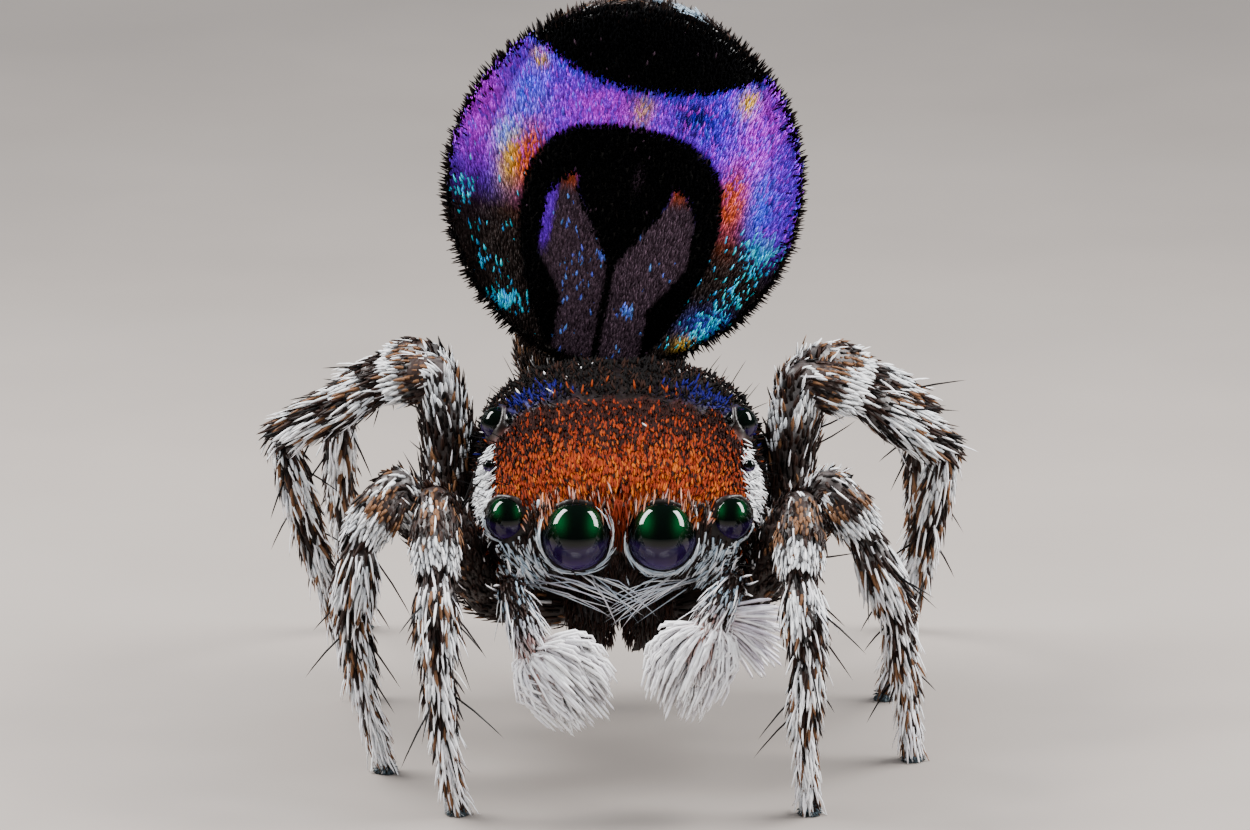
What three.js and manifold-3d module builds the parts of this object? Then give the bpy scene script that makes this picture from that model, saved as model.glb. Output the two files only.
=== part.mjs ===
// A male peacock spider in courtship display, standing, with its abdomen raised like a fan.
// Millimetres. +Z is up, and the face looks along -Y, so the spider's left side is at +X.
// The design frame has its origin midway between the two big front eyes. The group at the end
// moves the whole model so that the floor is at Z = 0, under the middle of the bounding box.
import * as THREE from "three";
import { mergeVertices } from "three/addons/utils/BufferGeometryUtils.js";
import Module from "manifold-3d";

const wasm = await Module();
wasm.setup();

// Driving dimensions
const EYE_ROW = 1.0; // across the outer edges of the front row of four eyes
const FLOOR = -0.93 * EYE_ROW; // height of the floor below the front eyes
const FAN_WIDTH = 1.336 * EYE_ROW; // the displayed fan, across
const FAN_LENGTH = 1.405 * EYE_ROW; // the displayed fan, along the abdomen
const ABDOMEN_LEAN = THREE.MathUtils.degToRad(10); // sideways swing of the raised abdomen
const GAP = 0.012 * EYE_ROW; // clearance between touching pieces
const FINEST = 0.004; // edges shorter than this are smoothed away after the unions
const LIMB_SIDES = 8;
const GOLDEN_TURN = 2.39996; // radians from one lock to the next round a limb
// Starts of the random numbers
const BEARD_SEED = 11;
const CROWN_SEED = 8;
const FRINGE_SEED = 17;
const LEG_SEED = 100;
const PALP_SEED = 203;
const LIMB_SEED_STEP = 10;
const SIDES = [
  ["right", -1],
  ["left", 1],
];

// Materials
function material(name, color, roughness) {
  const made = new THREE.MeshStandardMaterial({ color, roughness, metalness: 0 });
  made.name = name;
  return made;
}
const CUTICLE = material("dark_cuticle", 0x2b1c14, 0.5);
const MASK = material("orange_scales", 0xb4470f, 0.7);
const FAN = material("iridescent_scales", 0x4a2fa0, 0.35);
const LEG = material("banded_leg_scales", 0x6b5a4c, 0.7);
const BRUSH = material("white_bristles", 0xe4dedb, 0.6);
const LENS = material("eye_lens", 0x0a0f0d, 0.05);

// Small seeded random numbers, so that every build is the same
function seeded(seed) {
  let state = seed >>> 0;
  return () => {
    state = (Math.imul(state, 1664525) + 1013904223) >>> 0;
    return state / 4294967296;
  };
}

const vec = (x, y, z) => new THREE.Vector3(x, y, z).multiplyScalar(EYE_ROW);
const mirrored = (point, side) => new THREE.Vector3(point.x * side, point.y, point.z);

// Solids: three.js geometry in, manifold out, and back
function solid(geometry) {
  const bare = geometry.index ? geometry.toNonIndexed() : geometry.clone();
  const points = new THREE.BufferGeometry();
  points.setAttribute("position", bare.getAttribute("position"));
  const merged = mergeVertices(points, 1e-5);
  return new wasm.Manifold(
    new wasm.Mesh({
      numProp: 3,
      vertProperties: new Float32Array(merged.attributes.position.array),
      triVerts: new Uint32Array(merged.index.array),
    }),
  );
}

function join(pieces) {
  return pieces.reduce((whole, piece) => whole.add(piece));
}

// One closed surface without slivers: the largest that is left after the joins and cuts
function largest(body) {
  const lumps = body.simplify(FINEST).decompose();
  return lumps.reduce((best, lump) => (lump.volume() > best.volume() ? lump : best));
}

function meshOf(body, name, finish) {
  const { vertProperties, triVerts, numProp } = largest(body).getMesh();
  const count = vertProperties.length / numProp;
  const position = new Float32Array(count * 3);
  for (let i = 0; i < count; i++) {
    position.set(vertProperties.subarray(i * numProp, i * numProp + 3), i * 3);
  }
  const geometry = new THREE.BufferGeometry();
  geometry.setAttribute("position", new THREE.BufferAttribute(position, 3));
  geometry.setIndex(new THREE.BufferAttribute(triVerts, 1));
  geometry.computeVertexNormals();
  const mesh = new THREE.Mesh(geometry, finish);
  mesh.name = name;
  return mesh;
}

// Keeps the part of a body on the side of a plane that its normal points to
function keepBeyond(body, point, normal) {
  const n = normal.clone().normalize();
  return body.trimByPlane([n.x, n.y, n.z], n.dot(point));
}

const middleOf = (ring) =>
  ring.reduce((sum, p) => sum.add(p), new THREE.Vector3()).divideScalar(ring.length);

// A closed skin over a row of rings, each with the same number of points, and its two ends
function loft(rings, start = middleOf(rings[0]), end = middleOf(rings.at(-1))) {
  const count = rings[0].length;
  const points = rings.flat();
  const first = points.push(start) - 1;
  const last = points.push(end) - 1;
  const faces = [];
  for (let i = 0; i < count; i++) {
    const j = (i + 1) % count;
    faces.push(first, j, i);
    const top = (rings.length - 1) * count;
    faces.push(last, top + i, top + j);
    for (let r = 0; r + 1 < rings.length; r++) {
      const a = r * count;
      const b = a + count;
      faces.push(a + i, a + j, b + j, a + i, b + j, b + i);
    }
  }
  const geometry = new THREE.BufferGeometry().setFromPoints(points);
  geometry.setIndex(faces);
  const body = solid(geometry);
  if (body.volume() > 0) return body;
  for (let f = 0; f < faces.length; f += 3) {
    [faces[f], faces[f + 1]] = [faces[f + 1], faces[f]];
  }
  geometry.setIndex(faces);
  return solid(geometry);
}

function ball(centre, radius, sides) {
  const geometry = new THREE.SphereGeometry(radius, sides, Math.ceil(sides / 2));
  geometry.translate(centre.x, centre.y, centre.z);
  return solid(geometry);
}

// A turned limb segment: shape holds [share of the length, radius], and both ends are domed
function limbSegment(from, to, shape, sides = LIMB_SIDES) {
  const length = from.distanceTo(to);
  const start = shape[0][1];
  const end = shape.at(-1)[1];
  const profile = [new THREE.Vector2(0, -start)];
  profile.push(new THREE.Vector2(start * 0.75, -start * 0.66));
  shape.forEach(([share, radius]) => profile.push(new THREE.Vector2(radius, share * length)));
  profile.push(new THREE.Vector2(end * 0.75, length + end * 0.66));
  profile.push(new THREE.Vector2(0, length + end));
  const geometry = new THREE.LatheGeometry(profile, sides);
  const along = to.clone().sub(from).normalize();
  geometry.applyQuaternion(
    new THREE.Quaternion().setFromUnitVectors(new THREE.Vector3(0, 1, 0), along),
  );
  geometry.translate(from.x, from.y, from.z);
  return solid(geometry);
}

// A flat, tapered lock that bows away from the straight line between root and tip.
// flat is the direction of its broad side, and lift the push of its middle.
const LOCK_TAPER = [
  [0, 0.75],
  [0.55, 1],
];
const LOCK_SECTION = [
  [1, -0.16],
  [0, 0.42],
  [-1, -0.16],
]; // across and through the lock, in halves of its width

function lock(root, tip, flat, width, lift) {
  const along = tip.clone().sub(root).normalize();
  const broad = flat.clone().addScaledVector(along, -flat.dot(along)).normalize();
  const thin = new THREE.Vector3().crossVectors(along, broad);
  const middle = root.clone().add(tip).multiplyScalar(0.5).add(lift);
  const path = new THREE.QuadraticBezierCurve3(root, middle, tip);
  const rings = LOCK_TAPER.map(([t, share]) => {
    const at = path.getPoint(t);
    return LOCK_SECTION.map(([b, n]) =>
      at
        .clone()
        .addScaledVector(broad, (b * share * width) / 2)
        .addScaledVector(thin, (n * share * width) / 2),
    );
  });
  return loft(rings, root, tip);
}

// Carapace: rings along Y. Each row is [y, half width, roof height, floor height].
const CARAPACE_STATIONS = [
  [0.0, 0.4, 0.11, -0.14],
  [0.03, 0.45, 0.17, -0.18],
  [0.12, 0.475, 0.225, -0.21],
  [0.3, 0.495, 0.295, -0.24],
  [0.5, 0.512, 0.355, -0.25],
  [0.7, 0.53, 0.405, -0.25],
  [0.88, 0.535, 0.425, -0.25],
  [1.02, 0.51, 0.395, -0.25],
  [1.14, 0.45, 0.27, -0.25],
  [1.25, 0.36, 0.1, -0.245],
  [1.33, 0.25, -0.02, -0.235],
  [1.37, 0.14, -0.09, -0.2],
];
const CARAPACE_POINTS = 24;
const ROOF_SQUARENESS = 2.7;
const BELLY_SQUARENESS = 3.2;
const WAIST_SHARE = 0.35; // height of the widest line between floor and roof

function carapaceBody(grow = 0) {
  const rings = CARAPACE_STATIONS.map(([y, half, roof, floor]) => {
    const waist = floor + WAIST_SHARE * (roof - floor);
    return Array.from({ length: CARAPACE_POINTS }, (_, i) => {
      const turn = (2 * Math.PI * i) / CARAPACE_POINTS;
      const c = Math.cos(turn);
      const s = Math.sin(turn);
      const power = 2 / (s >= 0 ? ROOF_SQUARENESS : BELLY_SQUARENESS);
      const reach = (s >= 0 ? roof - waist : waist - floor) + grow / EYE_ROW;
      const x = (half + grow / EYE_ROW) * Math.sign(c) * Math.abs(c) ** power;
      return vec(x, y, waist + reach * Math.sign(s) * Math.abs(s) ** power);
    });
  });
  rings[0].forEach((p) => (p.y -= grow));
  rings.at(-1).forEach((p) => (p.y += grow));
  return loft(rings);
}

// Eyes: the centre for the spider's left side, the radius, and the direction that it looks in
const EYES = {
  front_middle: { at: vec(0.158, 0.015, 0), radius: 0.13 * EYE_ROW, sides: 16 },
  front_side: { at: vec(0.41, 0.07, 0.05), radius: 0.082 * EYE_ROW, sides: 12 },
  rear_small: { at: vec(0.482, 0.36, 0.17), radius: 0.022 * EYE_ROW, sides: 8 },
  rear_side: { at: vec(0.452, 0.62, 0.262), radius: 0.062 * EYE_ROW, sides: 10 },
};
const LOOKS = {
  front_middle: new THREE.Vector3(0, -1, 0),
  front_side: new THREE.Vector3(0.5, -0.85, 0.05).normalize(),
  rear_small: new THREE.Vector3(0.95, -0.1, 0.2).normalize(),
  rear_side: new THREE.Vector3(0.85, -0.2, 0.45).normalize(),
};
const RIM = 0.02 * EYE_ROW; // thickness of the raised collar round each eye
const RIM_SIDES = 12;

function eyeCollar(at, radius, look) {
  const collar = new THREE.CylinderGeometry(radius + RIM, radius + 1.6 * RIM, radius, RIM_SIDES);
  collar.translate(0, -radius * 0.32, 0);
  collar.applyQuaternion(
    new THREE.Quaternion().setFromUnitVectors(new THREE.Vector3(0, 1, 0), look),
  );
  collar.translate(at.x, at.y, at.z);
  return solid(collar);
}

function eyeParts() {
  const meshes = [];
  const collars = [];
  const sockets = [];
  for (const [side, sign] of SIDES) {
    for (const [kind, eye] of Object.entries(EYES)) {
      const at = mirrored(eye.at, sign);
      const look = mirrored(LOOKS[kind], sign);
      const lens = meshOf(ball(vec(0, 0, 0), eye.radius, eye.sides), `eye_${kind}_${side}`, LENS);
      lens.position.copy(at);
      meshes.push(lens);
      sockets.push(ball(at, eye.radius + GAP, eye.sides));
      if (kind === "rear_small") continue;
      collars.push(eyeCollar(at, eye.radius, look));
    }
  }
  return { meshes, collars, sockets };
}

// Beard: long bristles below the front eyes that sweep inwards and cross under the middle
const BEARD_LOCKS = 5; // on each side

function beard() {
  const random = seeded(BEARD_SEED);
  const locks = [];
  for (const [, sign] of SIDES) {
    for (let i = 0; i < BEARD_LOCKS; i++) {
      const share = i / (BEARD_LOCKS - 1);
      const root = vec(sign * THREE.MathUtils.lerp(0.1, 0.36, share), 0.035, -0.13 - 0.01 * share);
      const reach = THREE.MathUtils.lerp(-0.07, 0.06, share) + 0.03 * random();
      const tip = vec(sign * reach, -0.1 - 0.02 * (i % 2) - 0.01 * sign, -0.24 - 0.07 * random());
      const bow = vec(0, -0.05, 0.02);
      locks.push(lock(root, tip, vec(1, 0, 0.6 * sign), 0.04 * EYE_ROW, bow));
    }
  }
  return locks;
}

// Raised abdomen. Its own frame has the origin at the waist joint, +Z towards the spinnerets
// and -Y towards the back of the animal, which faces forwards while it displays.
const WAIST = vec(-0.14, 1.5, 0.1);
const FAN_MIDDLE = 0.91 * EYE_ROW; // height of the middle of the fan over the waist joint
const FAN_PLANE = -0.2 * EYE_ROW;
const ABDOMEN_RINGS = 13;
const ABDOMEN_POINTS = 22;
const BODY_WIDTH_SHARE = 0.8; // of the fan's width
const BACK_DEPTH = 0.1 * EYE_ROW; // how far the displayed back bulges forwards
const BELLY_DEPTH = 0.56 * EYE_ROW;
const HAUNCH_SIDES = 12;
const HAUNCH_ROWS = 7;

function abdomenBody(grow = 0) {
  const rings = [];
  const halfLength = FAN_LENGTH / 2;
  for (let r = 0; r < ABDOMEN_RINGS; r++) {
    const turn = Math.PI * (0.04 + (0.92 * r) / (ABDOMEN_RINGS - 1));
    const height = -Math.cos(turn) * halfLength;
    const swell = Math.sin(turn) ** 0.82;
    const belly = BELLY_DEPTH * (0.86 - (0.2 * height) / halfLength) * swell;
    const ring = Array.from({ length: ABDOMEN_POINTS }, (_, i) => {
      const a = (2 * Math.PI * i) / ABDOMEN_POINTS;
      const half = (BODY_WIDTH_SHARE * swell * FAN_WIDTH) / 2 + grow;
      const depth = (Math.sin(a) < 0 ? BACK_DEPTH * swell : belly) + grow;
      const tall = height + Math.sign(height) * grow;
      return new THREE.Vector3(
        half * Math.cos(a),
        FAN_PLANE + depth * Math.sin(a),
        FAN_MIDDLE + tall,
      );
    });
    rings.push(ring);
  }
  return loft(rings).add(haunch(grow));
}

// The rounded front end of the abdomen, low behind the fan, which the waist joins
function haunch(grow) {
  const middle = new THREE.Vector3(0.03, 0.04, 0.22).multiplyScalar(EYE_ROW);
  const lobe = new THREE.SphereGeometry(1, HAUNCH_SIDES, HAUNCH_ROWS);
  const [wide, deep, tall] = [0.33, 0.25, 0.33].map((half) => half * EYE_ROW + grow);
  lobe.scale(wide, deep, tall).translate(middle.x, middle.y, middle.z);
  return solid(lobe);
}

// One fan flap: a thin curved plate from the side of the abdomen out to the rim of the fan,
// with a fringe of short bristles. Its inner edge follows the abdomen.
const FLAP_THICKNESS = 0.034 * EYE_ROW;
const FAN_DISH = 0.07 * EYE_ROW; // how far the fan's middle stands in front of its rim
const FLAP_STEPS = 14;
const FLAP_FROM = THREE.MathUtils.degToRad(14);
const FLAP_TO = THREE.MathUtils.degToRad(166);
const FRINGE_LOCKS = 17;
const CROWN_LOCKS = 5; // of the fringe, over the top of the abdomen itself

function fanPoint(turn, share, sign, back) {
  const x = (Math.sin(turn) * share * FAN_WIDTH * sign) / 2;
  const z = FAN_MIDDLE + (Math.cos(turn) * share * FAN_LENGTH) / 2;
  const dish = FAN_DISH * (1 - share);
  return new THREE.Vector3(x, FAN_PLANE - dish + back * FLAP_THICKNESS, z);
}

function flapPlate(sign) {
  const shares = [0.62, 0.75, 0.88, 0.97];
  const rings = [];
  for (let s = 0; s <= FLAP_STEPS; s++) {
    const turn = THREE.MathUtils.lerp(FLAP_FROM, FLAP_TO, s / FLAP_STEPS);
    const front = shares.map((share) => fanPoint(turn, share, sign, 0));
    const rim = fanPoint(turn, 1, sign, 0.5);
    const rear = shares.map((share) => fanPoint(turn, share, sign, 1)).reverse();
    rings.push([...front, rim, ...rear]);
  }
  return loft(rings);
}

function fringe(sign, from, to, count, seed) {
  const random = seeded(seed);
  return Array.from({ length: count }, (_, i) => {
    const turn = THREE.MathUtils.lerp(from, to, (i + 0.5) / count);
    const root = fanPoint(turn, 0.94, sign, 0.5);
    const long = 1.06 + 0.035 * random();
    const tip = fanPoint(turn + 0.06, long, sign, 0.9 + random());
    const rim = fanPoint(turn + 0.1, 1, sign, 0.5).sub(fanPoint(turn - 0.1, 1, sign, 0.5));
    return lock(root, tip, rim, 0.085 * EYE_ROW, vec(0, 0, 0));
  });
}

function abdomenParts() {
  const group = new THREE.Group();
  group.position.copy(WAIST);
  group.rotation.y = ABDOMEN_LEAN;
  const crown = fringe(1, -FLAP_FROM, FLAP_FROM, CROWN_LOCKS, CROWN_SEED);
  group.add(meshOf(join([abdomenBody(), ...crown]), "abdomen", FAN));
  const grown = abdomenBody(GAP);
  for (const [side, sign] of SIDES) {
    const plate = join([
      flapPlate(sign),
      ...fringe(sign, FLAP_FROM, FLAP_TO, FRINGE_LOCKS, FRINGE_SEED + sign),
    ]);
    group.add(meshOf(plate.subtract(grown), `fan_flap_${side}`, FAN));
  }
  group.add(meshOf(spinnerets().subtract(grown), "spinnerets", CUTICLE));
  return group;
}

// Spinnerets: a short bundle of blunt tubes behind the top of the fan
function spinnerets() {
  const top = FAN_MIDDLE + FAN_LENGTH / 2;
  const tubes = [
    [-0.04, 0.03],
    [0.04, 0.03],
    [-0.035, 0.1],
    [0.035, 0.1],
  ].map(([x, y]) =>
    limbSegment(
      new THREE.Vector3(x * EYE_ROW, FAN_PLANE + y * EYE_ROW, top - 0.14 * EYE_ROW),
      new THREE.Vector3(1.3 * x * EYE_ROW, FAN_PLANE + (y + 0.05) * EYE_ROW, top + 0.03 * EYE_ROW),
      [
        [0, 0.045 * EYE_ROW],
        [0.6, 0.04 * EYE_ROW],
        [1, 0.022 * EYE_ROW],
      ],
      8,
    ),
  );
  return join(tubes);
}

function pedicel() {
  const tube = limbSegment(vec(0, 1.28, -0.15), vec(-0.05, 1.52, -0.02), [
    [0, 0.07 * EYE_ROW],
    [0.5, 0.06 * EYE_ROW],
    [1, 0.07 * EYE_ROW],
  ]);
  const lean = new THREE.Matrix4().makeRotationY(ABDOMEN_LEAN).setPosition(WAIST);
  const abdomen = abdomenBody(GAP).transform(lean.toArray());
  return meshOf(tube.subtract(carapaceBody(GAP)).subtract(abdomen), "pedicel", CUTICLE);
}

// Underside
const UNDERSIDE = -0.25 * EYE_ROW;
const COXA_DROP = -0.365 * EYE_ROW;
const COXA_TOP = -0.262; // the hips stay a gap below the carapace
const STERNUM_HALF = 0.2;

function sternum() {
  const rows = [
    [0.26, 0.12],
    [0.36, 0.17],
    [0.55, STERNUM_HALF],
    [0.85, STERNUM_HALF],
    [1.08, 0.15],
    [1.2, 0.07],
  ];
  const top = UNDERSIDE / EYE_ROW - GAP / EYE_ROW;
  const rings = rows.map(([y, half]) =>
    [
      [1, top],
      [1, -0.36],
      [0.6, -0.425],
      [-0.6, -0.425],
      [-1, -0.36],
      [-1, top],
    ].map(([x, z]) => vec(x * half, y, z)),
  );
  return meshOf(loft(rings), "sternum", CUTICLE);
}

function chelicera(sign, side, head) {
  const shell = limbSegment(
    mirrored(vec(0.108, 0.16, -0.2), sign),
    mirrored(vec(0.1, 0.07, -0.42), sign),
    [
      [0, 0.095 * EYE_ROW],
      [0.5, 0.092 * EYE_ROW],
      [1, 0.06 * EYE_ROW],
    ],
    12,
  );
  const fang = limbSegment(
    mirrored(vec(0.1, 0.1, -0.43), sign),
    mirrored(vec(0.045, 0.13, -0.49), sign),
    [
      [0, 0.03 * EYE_ROW],
      [0.6, 0.022 * EYE_ROW],
      [1, 0.008 * EYE_ROW],
    ],
    6,
  );
  const inner = mirrored(vec(GAP / EYE_ROW / 2, 0, 0), sign);
  const half = keepBeyond(join([shell, fang]), inner, new THREE.Vector3(sign, 0, 0));
  return meshOf(half.subtract(head), `chelicera_${side}`, CUTICLE);
}

// Legs. Each joint is [x, y, z] in eye-row widths: hip, knee, end of the kneecap, end of the
// shin, end of the foot's first segment, and tip.
const LEGS = {
  leg1_right: [
    [-0.5, 0.36, -0.33],
    [-0.678, -0.12, 0.165],
    [-0.67, -0.32, -0.052],
    [-0.668, -0.47, -0.337],
    [-0.636, -0.5, -0.66],
    [-0.592, -0.45, -0.93],
  ],
  leg1_left: [
    [0.5, 0.36, -0.33],
    [0.667, -0.12, 0.15],
    [0.66, -0.32, -0.058],
    [0.69, -0.46, -0.31],
    [0.68, -0.5, -0.6],
    [0.698, -0.45, -0.93],
  ],
  leg2_right: [
    [-0.55, 0.58, -0.33],
    [-0.822, 0.22, 0.135],
    [-0.95, 0.12, -0.045],
    [-0.984, 0.06, -0.32],
    [-0.943, 0.06, -0.6],
    [-0.863, 0.1, -0.93],
  ],
  leg2_left: [
    [0.55, 0.58, -0.33],
    [0.776, 0.24, 0.13],
    [0.9, 0.2, -0.046],
    [1.022, 0.22, -0.345],
    [1.063, 0.24, -0.64],
    [1.089, 0.26, -0.93],
  ],
  leg3_right: [
    [-0.6, 0.82, -0.33],
    [-0.665, 0.82, 0.4],
    [-0.86, 0.86, 0.355],
    [-1.262, 0.95, 0.13],
    [-1.12, 1.02, -0.4],
    [-0.96, 1.08, -0.93],
  ],
  leg3_left: [
    [0.6, 0.82, -0.33],
    [0.66, 0.82, 0.39],
    [0.89, 0.86, 0.3],
    [1.216, 0.93, 0.085],
    [1.12, 1.0, -0.42],
    [1.0, 1.08, -0.93],
  ],
  leg4_right: [
    [-0.53, 1.06, -0.33],
    [-0.7, 1.4, 0.3],
    [-0.85, 1.55, 0.24],
    [-1.06, 1.8, 0.03],
    [-1.06, 1.95, -0.44],
    [-0.98, 2.05, -0.93],
  ],
  leg4_left: [
    [0.53, 1.06, -0.33],
    [0.735, 1.4, 0.295],
    [0.9, 1.54, 0.22],
    [1.14, 1.78, 0.0],
    [1.14, 1.93, -0.46],
    [1.05, 2.04, -0.93],
  ],
};
const COXA_INNER = 0.22;
const COXA = 0.1;
const FEMUR = 0.096;
const KNEECAP = 0.09;
const SHIN = 0.077;
const ANKLE = 0.057;
const TOE = 0.042;
const PAD = 0.045;
const LONG_LOCK = 0.15 * EYE_ROW;
const SHORT_LOCK = 0.11 * EYE_ROW;

// A segment's shape at its real size: rows of share of the length and share of the radius
const shape = (rows, size) => rows.map(([share, part]) => [share, part * size * EYE_ROW]);

// A swollen segment: narrow at both joints and fullest where the muscle lies
const FEMUR_SHAPE = [
  [0, 0.72],
  [0.2, 0.95],
  [0.5, 1.04],
  [0.8, 0.92],
  [1, 0.78],
];
const KNEECAP_SHAPE = [
  [0, 0.95],
  [0.5, 1.1],
  [1, 0.78],
];
const SHIN_SHAPE = [
  [0, 0.78],
  [0.18, 1],
  [0.6, 1.02],
  [1, 0.76],
];
const FOOT_SHAPE = [
  [0, 0.95],
  [0.15, 1.08],
  [0.7, 0.86],
  [1, 0.72],
];
const TIP_SHAPE = [
  [0, 0.98],
  [1, 0.8],
];
const COXA_SHAPE = [
  [0, 1],
  [0.6, 1],
  [1, 0.8],
];
const HAND_SHAPE = [
  [0, 0.8],
  [0.5, 1.1],
  [1, 0.7],
];

// The plane that parts two segments at a joint leans half way between their directions
function parting(before, joint, after) {
  const inward = joint.clone().sub(before).normalize();
  const outward = after.clone().sub(joint).normalize();
  return inward.add(outward).normalize();
}

function trimmed(body, joint, normal, keepOuter) {
  const way = normal.clone().multiplyScalar(keepOuter ? 1 : -1);
  return keepBeyond(body, joint.clone().addScaledVector(way, GAP / 2), way);
}

// Locks laid along a segment, tips outwards and towards its far end; size is their width
function coat(from, to, radius, count, seed, length, size = 0.058) {
  const random = seeded(seed);
  const along = to.clone().sub(from);
  const run = along.length();
  along.normalize();
  const across = new THREE.Vector3(0, 0, 1).cross(along);
  if (across.length() < 0.2) across.set(1, 0, 0);
  across.normalize();
  const around = new THREE.Vector3().crossVectors(along, across);
  return Array.from({ length: count }, (_, i) => {
    const turn = i * GOLDEN_TURN + random();
    const share = 0.08 + 0.62 * ((i + 0.5) / count);
    const out = across
      .clone()
      .multiplyScalar(Math.cos(turn))
      .addScaledVector(around, Math.sin(turn));
    const root = from
      .clone()
      .addScaledVector(along, share * run)
      .addScaledVector(out, radius * 0.62);
    const tip = root
      .clone()
      .addScaledVector(along, length * (0.8 + 0.3 * random()))
      .addScaledVector(out, radius * 0.38 + length * 0.3);
    const broad = new THREE.Vector3().crossVectors(along, out);
    return lock(root, tip, broad, size * EYE_ROW, out.multiplyScalar(length * 0.1));
  });
}

function legParts(name, joints, seed) {
  const [hip, knee, cap, shin, ankle, tip] = joints.map((j) => vec(...j));
  const sign = Math.sign(hip.x);
  const inner = vec(sign * COXA_INNER, hip.y / EYE_ROW, COXA_DROP / EYE_ROW);
  const root = inner.clone().add(vec(-sign * 0.1, 0, 0));
  const hipNormal = parting(root, hip, knee);
  const kneeNormal = parting(hip, knee, cap);
  const shinNormal = parting(cap, shin, ankle);
  const limit = new THREE.Vector3(sign, 0, 0);

  let coxa = limbSegment(root, hip, shape(COXA_SHAPE, COXA));
  coxa = keepBeyond(coxa, inner, limit);
  coxa = keepBeyond(coxa, vec(0, 0, COXA_TOP), new THREE.Vector3(0, 0, -1));
  coxa = trimmed(coxa, hip, hipNormal, false);

  let femur = limbSegment(hip, knee, shape(FEMUR_SHAPE, FEMUR));
  femur = trimmed(femur, hip, hipNormal, true);
  femur = trimmed(femur, knee, kneeNormal, false);
  femur = femur.subtract(carapaceBody(GAP));

  let shank = join([
    limbSegment(knee, cap, shape(KNEECAP_SHAPE, KNEECAP)),
    limbSegment(cap, shin, shape(SHIN_SHAPE, SHIN)),
    ...coat(cap, shin, SHIN * EYE_ROW, 6, seed, LONG_LOCK),
    ...coat(knee, cap, KNEECAP * EYE_ROW, 3, seed + 3, SHORT_LOCK),
  ]);
  shank = trimmed(shank, knee, kneeNormal, true);
  shank = trimmed(shank, shin, shinNormal, false);

  let foot = join([
    limbSegment(shin, ankle, shape(FOOT_SHAPE, ANKLE)),
    limbSegment(ankle, tip, shape(TIP_SHAPE, TOE)),
    ball(tip.clone().add(vec(0, -0.012, 0.028)), PAD * EYE_ROW, 8),
    ...coat(shin, ankle, ANKLE * EYE_ROW, 5, seed + 5, LONG_LOCK),
    ...coat(ankle, tip, TOE * EYE_ROW, 2, seed + 7, SHORT_LOCK, 0.045),
  ]);
  foot = trimmed(foot, shin, shinNormal, true);
  foot = keepBeyond(foot, vec(0, 0, FLOOR / EYE_ROW), new THREE.Vector3(0, 0, 1));

  return [
    meshOf(coxa, `${name}_coxa`, CUTICLE),
    meshOf(femur, `${name}_femur`, LEG),
    meshOf(shank, `${name}_shin`, LEG),
    meshOf(foot, `${name}_foot`, LEG),
  ];
}

// Palps, the short feelers beside the mouth, each ending in a brush of white bristles.
// Joints: root, knee, end of the arm, and end of the hand.
const PALPS = {
  palp_right: [
    [-0.33, 0.1, -0.34],
    [-0.4, -0.19, -0.14],
    [-0.31, -0.31, -0.36],
    [-0.17, -0.35, -0.56],
  ],
  palp_left: [
    [0.33, 0.1, -0.34],
    [0.42, -0.19, -0.12],
    [0.325, -0.31, -0.27],
    [0.27, -0.36, -0.5],
  ],
};
const PALP_THIGH = 0.055;
const PALP_ARM = 0.062;
const PALP_HAND = 0.068;
const HAND_SIDES = 10;
const BRUSH_LOCKS = 22;
const BRUSH_SPREAD = 1.2; // radians to each side of the hand's direction

// Bristles that spread over the front and both sides of the palp's hand, as a flattened fan
function brush(wrist, end, seed) {
  const random = seeded(seed);
  const along = end.clone().sub(wrist);
  const reach = along.length();
  along.normalize();
  const front = new THREE.Vector3(0, -1, 0).addScaledVector(along, along.y).normalize();
  const across = new THREE.Vector3().crossVectors(along, front);
  return Array.from({ length: BRUSH_LOCKS }, (_, i) => {
    const row = i % 3;
    const fan = THREE.MathUtils.lerp(-1, 1, (i + 0.5) / BRUSH_LOCKS);
    const splay = fan * BRUSH_SPREAD + 0.1 * (random() - 0.5);
    const root = wrist
      .clone()
      .addScaledVector(along, reach * (0.08 + 0.3 * row))
      .addScaledVector(across, fan * 0.035 * EYE_ROW)
      .addScaledVector(front, 0.02 * EYE_ROW);
    const out = (0.12 - 0.04 * row) * EYE_ROW;
    const long = (0.3 - 0.035 * row + 0.05 * random()) * (1 - 0.25 * Math.abs(fan)) * EYE_ROW;
    const tip = root
      .clone()
      .addScaledVector(along, Math.cos(splay) * long)
      .addScaledVector(across, Math.sin(splay) * long)
      .addScaledVector(front, out);
    const lift = front.clone().multiplyScalar(0.05 * EYE_ROW);
    return lock(root, tip, across, 0.06 * EYE_ROW, lift);
  });
}

function palpParts(name, joints, seed) {
  const [root, knee, wrist, end] = joints.map((j) => vec(...j));
  const kneeNormal = parting(root, knee, wrist);
  const wristNormal = parting(knee, wrist, end);
  let thigh = limbSegment(root, knee, shape(FEMUR_SHAPE, PALP_THIGH));
  thigh = trimmed(thigh, knee, kneeNormal, false).subtract(carapaceBody(GAP));
  let arm = join([
    limbSegment(knee, wrist, shape(KNEECAP_SHAPE, PALP_ARM)),
    ...coat(knee, wrist, PALP_ARM * EYE_ROW, 10, seed, 0.17 * EYE_ROW, 0.05),
  ]);
  arm = trimmed(trimmed(arm, knee, kneeNormal, true), wrist, wristNormal, false);
  let hand = join([
    limbSegment(wrist, end, shape(HAND_SHAPE, PALP_HAND), HAND_SIDES),
    ...brush(wrist, end, seed + 1),
  ]);
  hand = trimmed(hand, wrist, wristNormal, true);
  return [
    meshOf(thigh, `${name}_thigh`, LEG),
    meshOf(arm, `${name}_arm`, BRUSH),
    meshOf(hand, `${name}_hand`, BRUSH),
  ];
}

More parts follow.
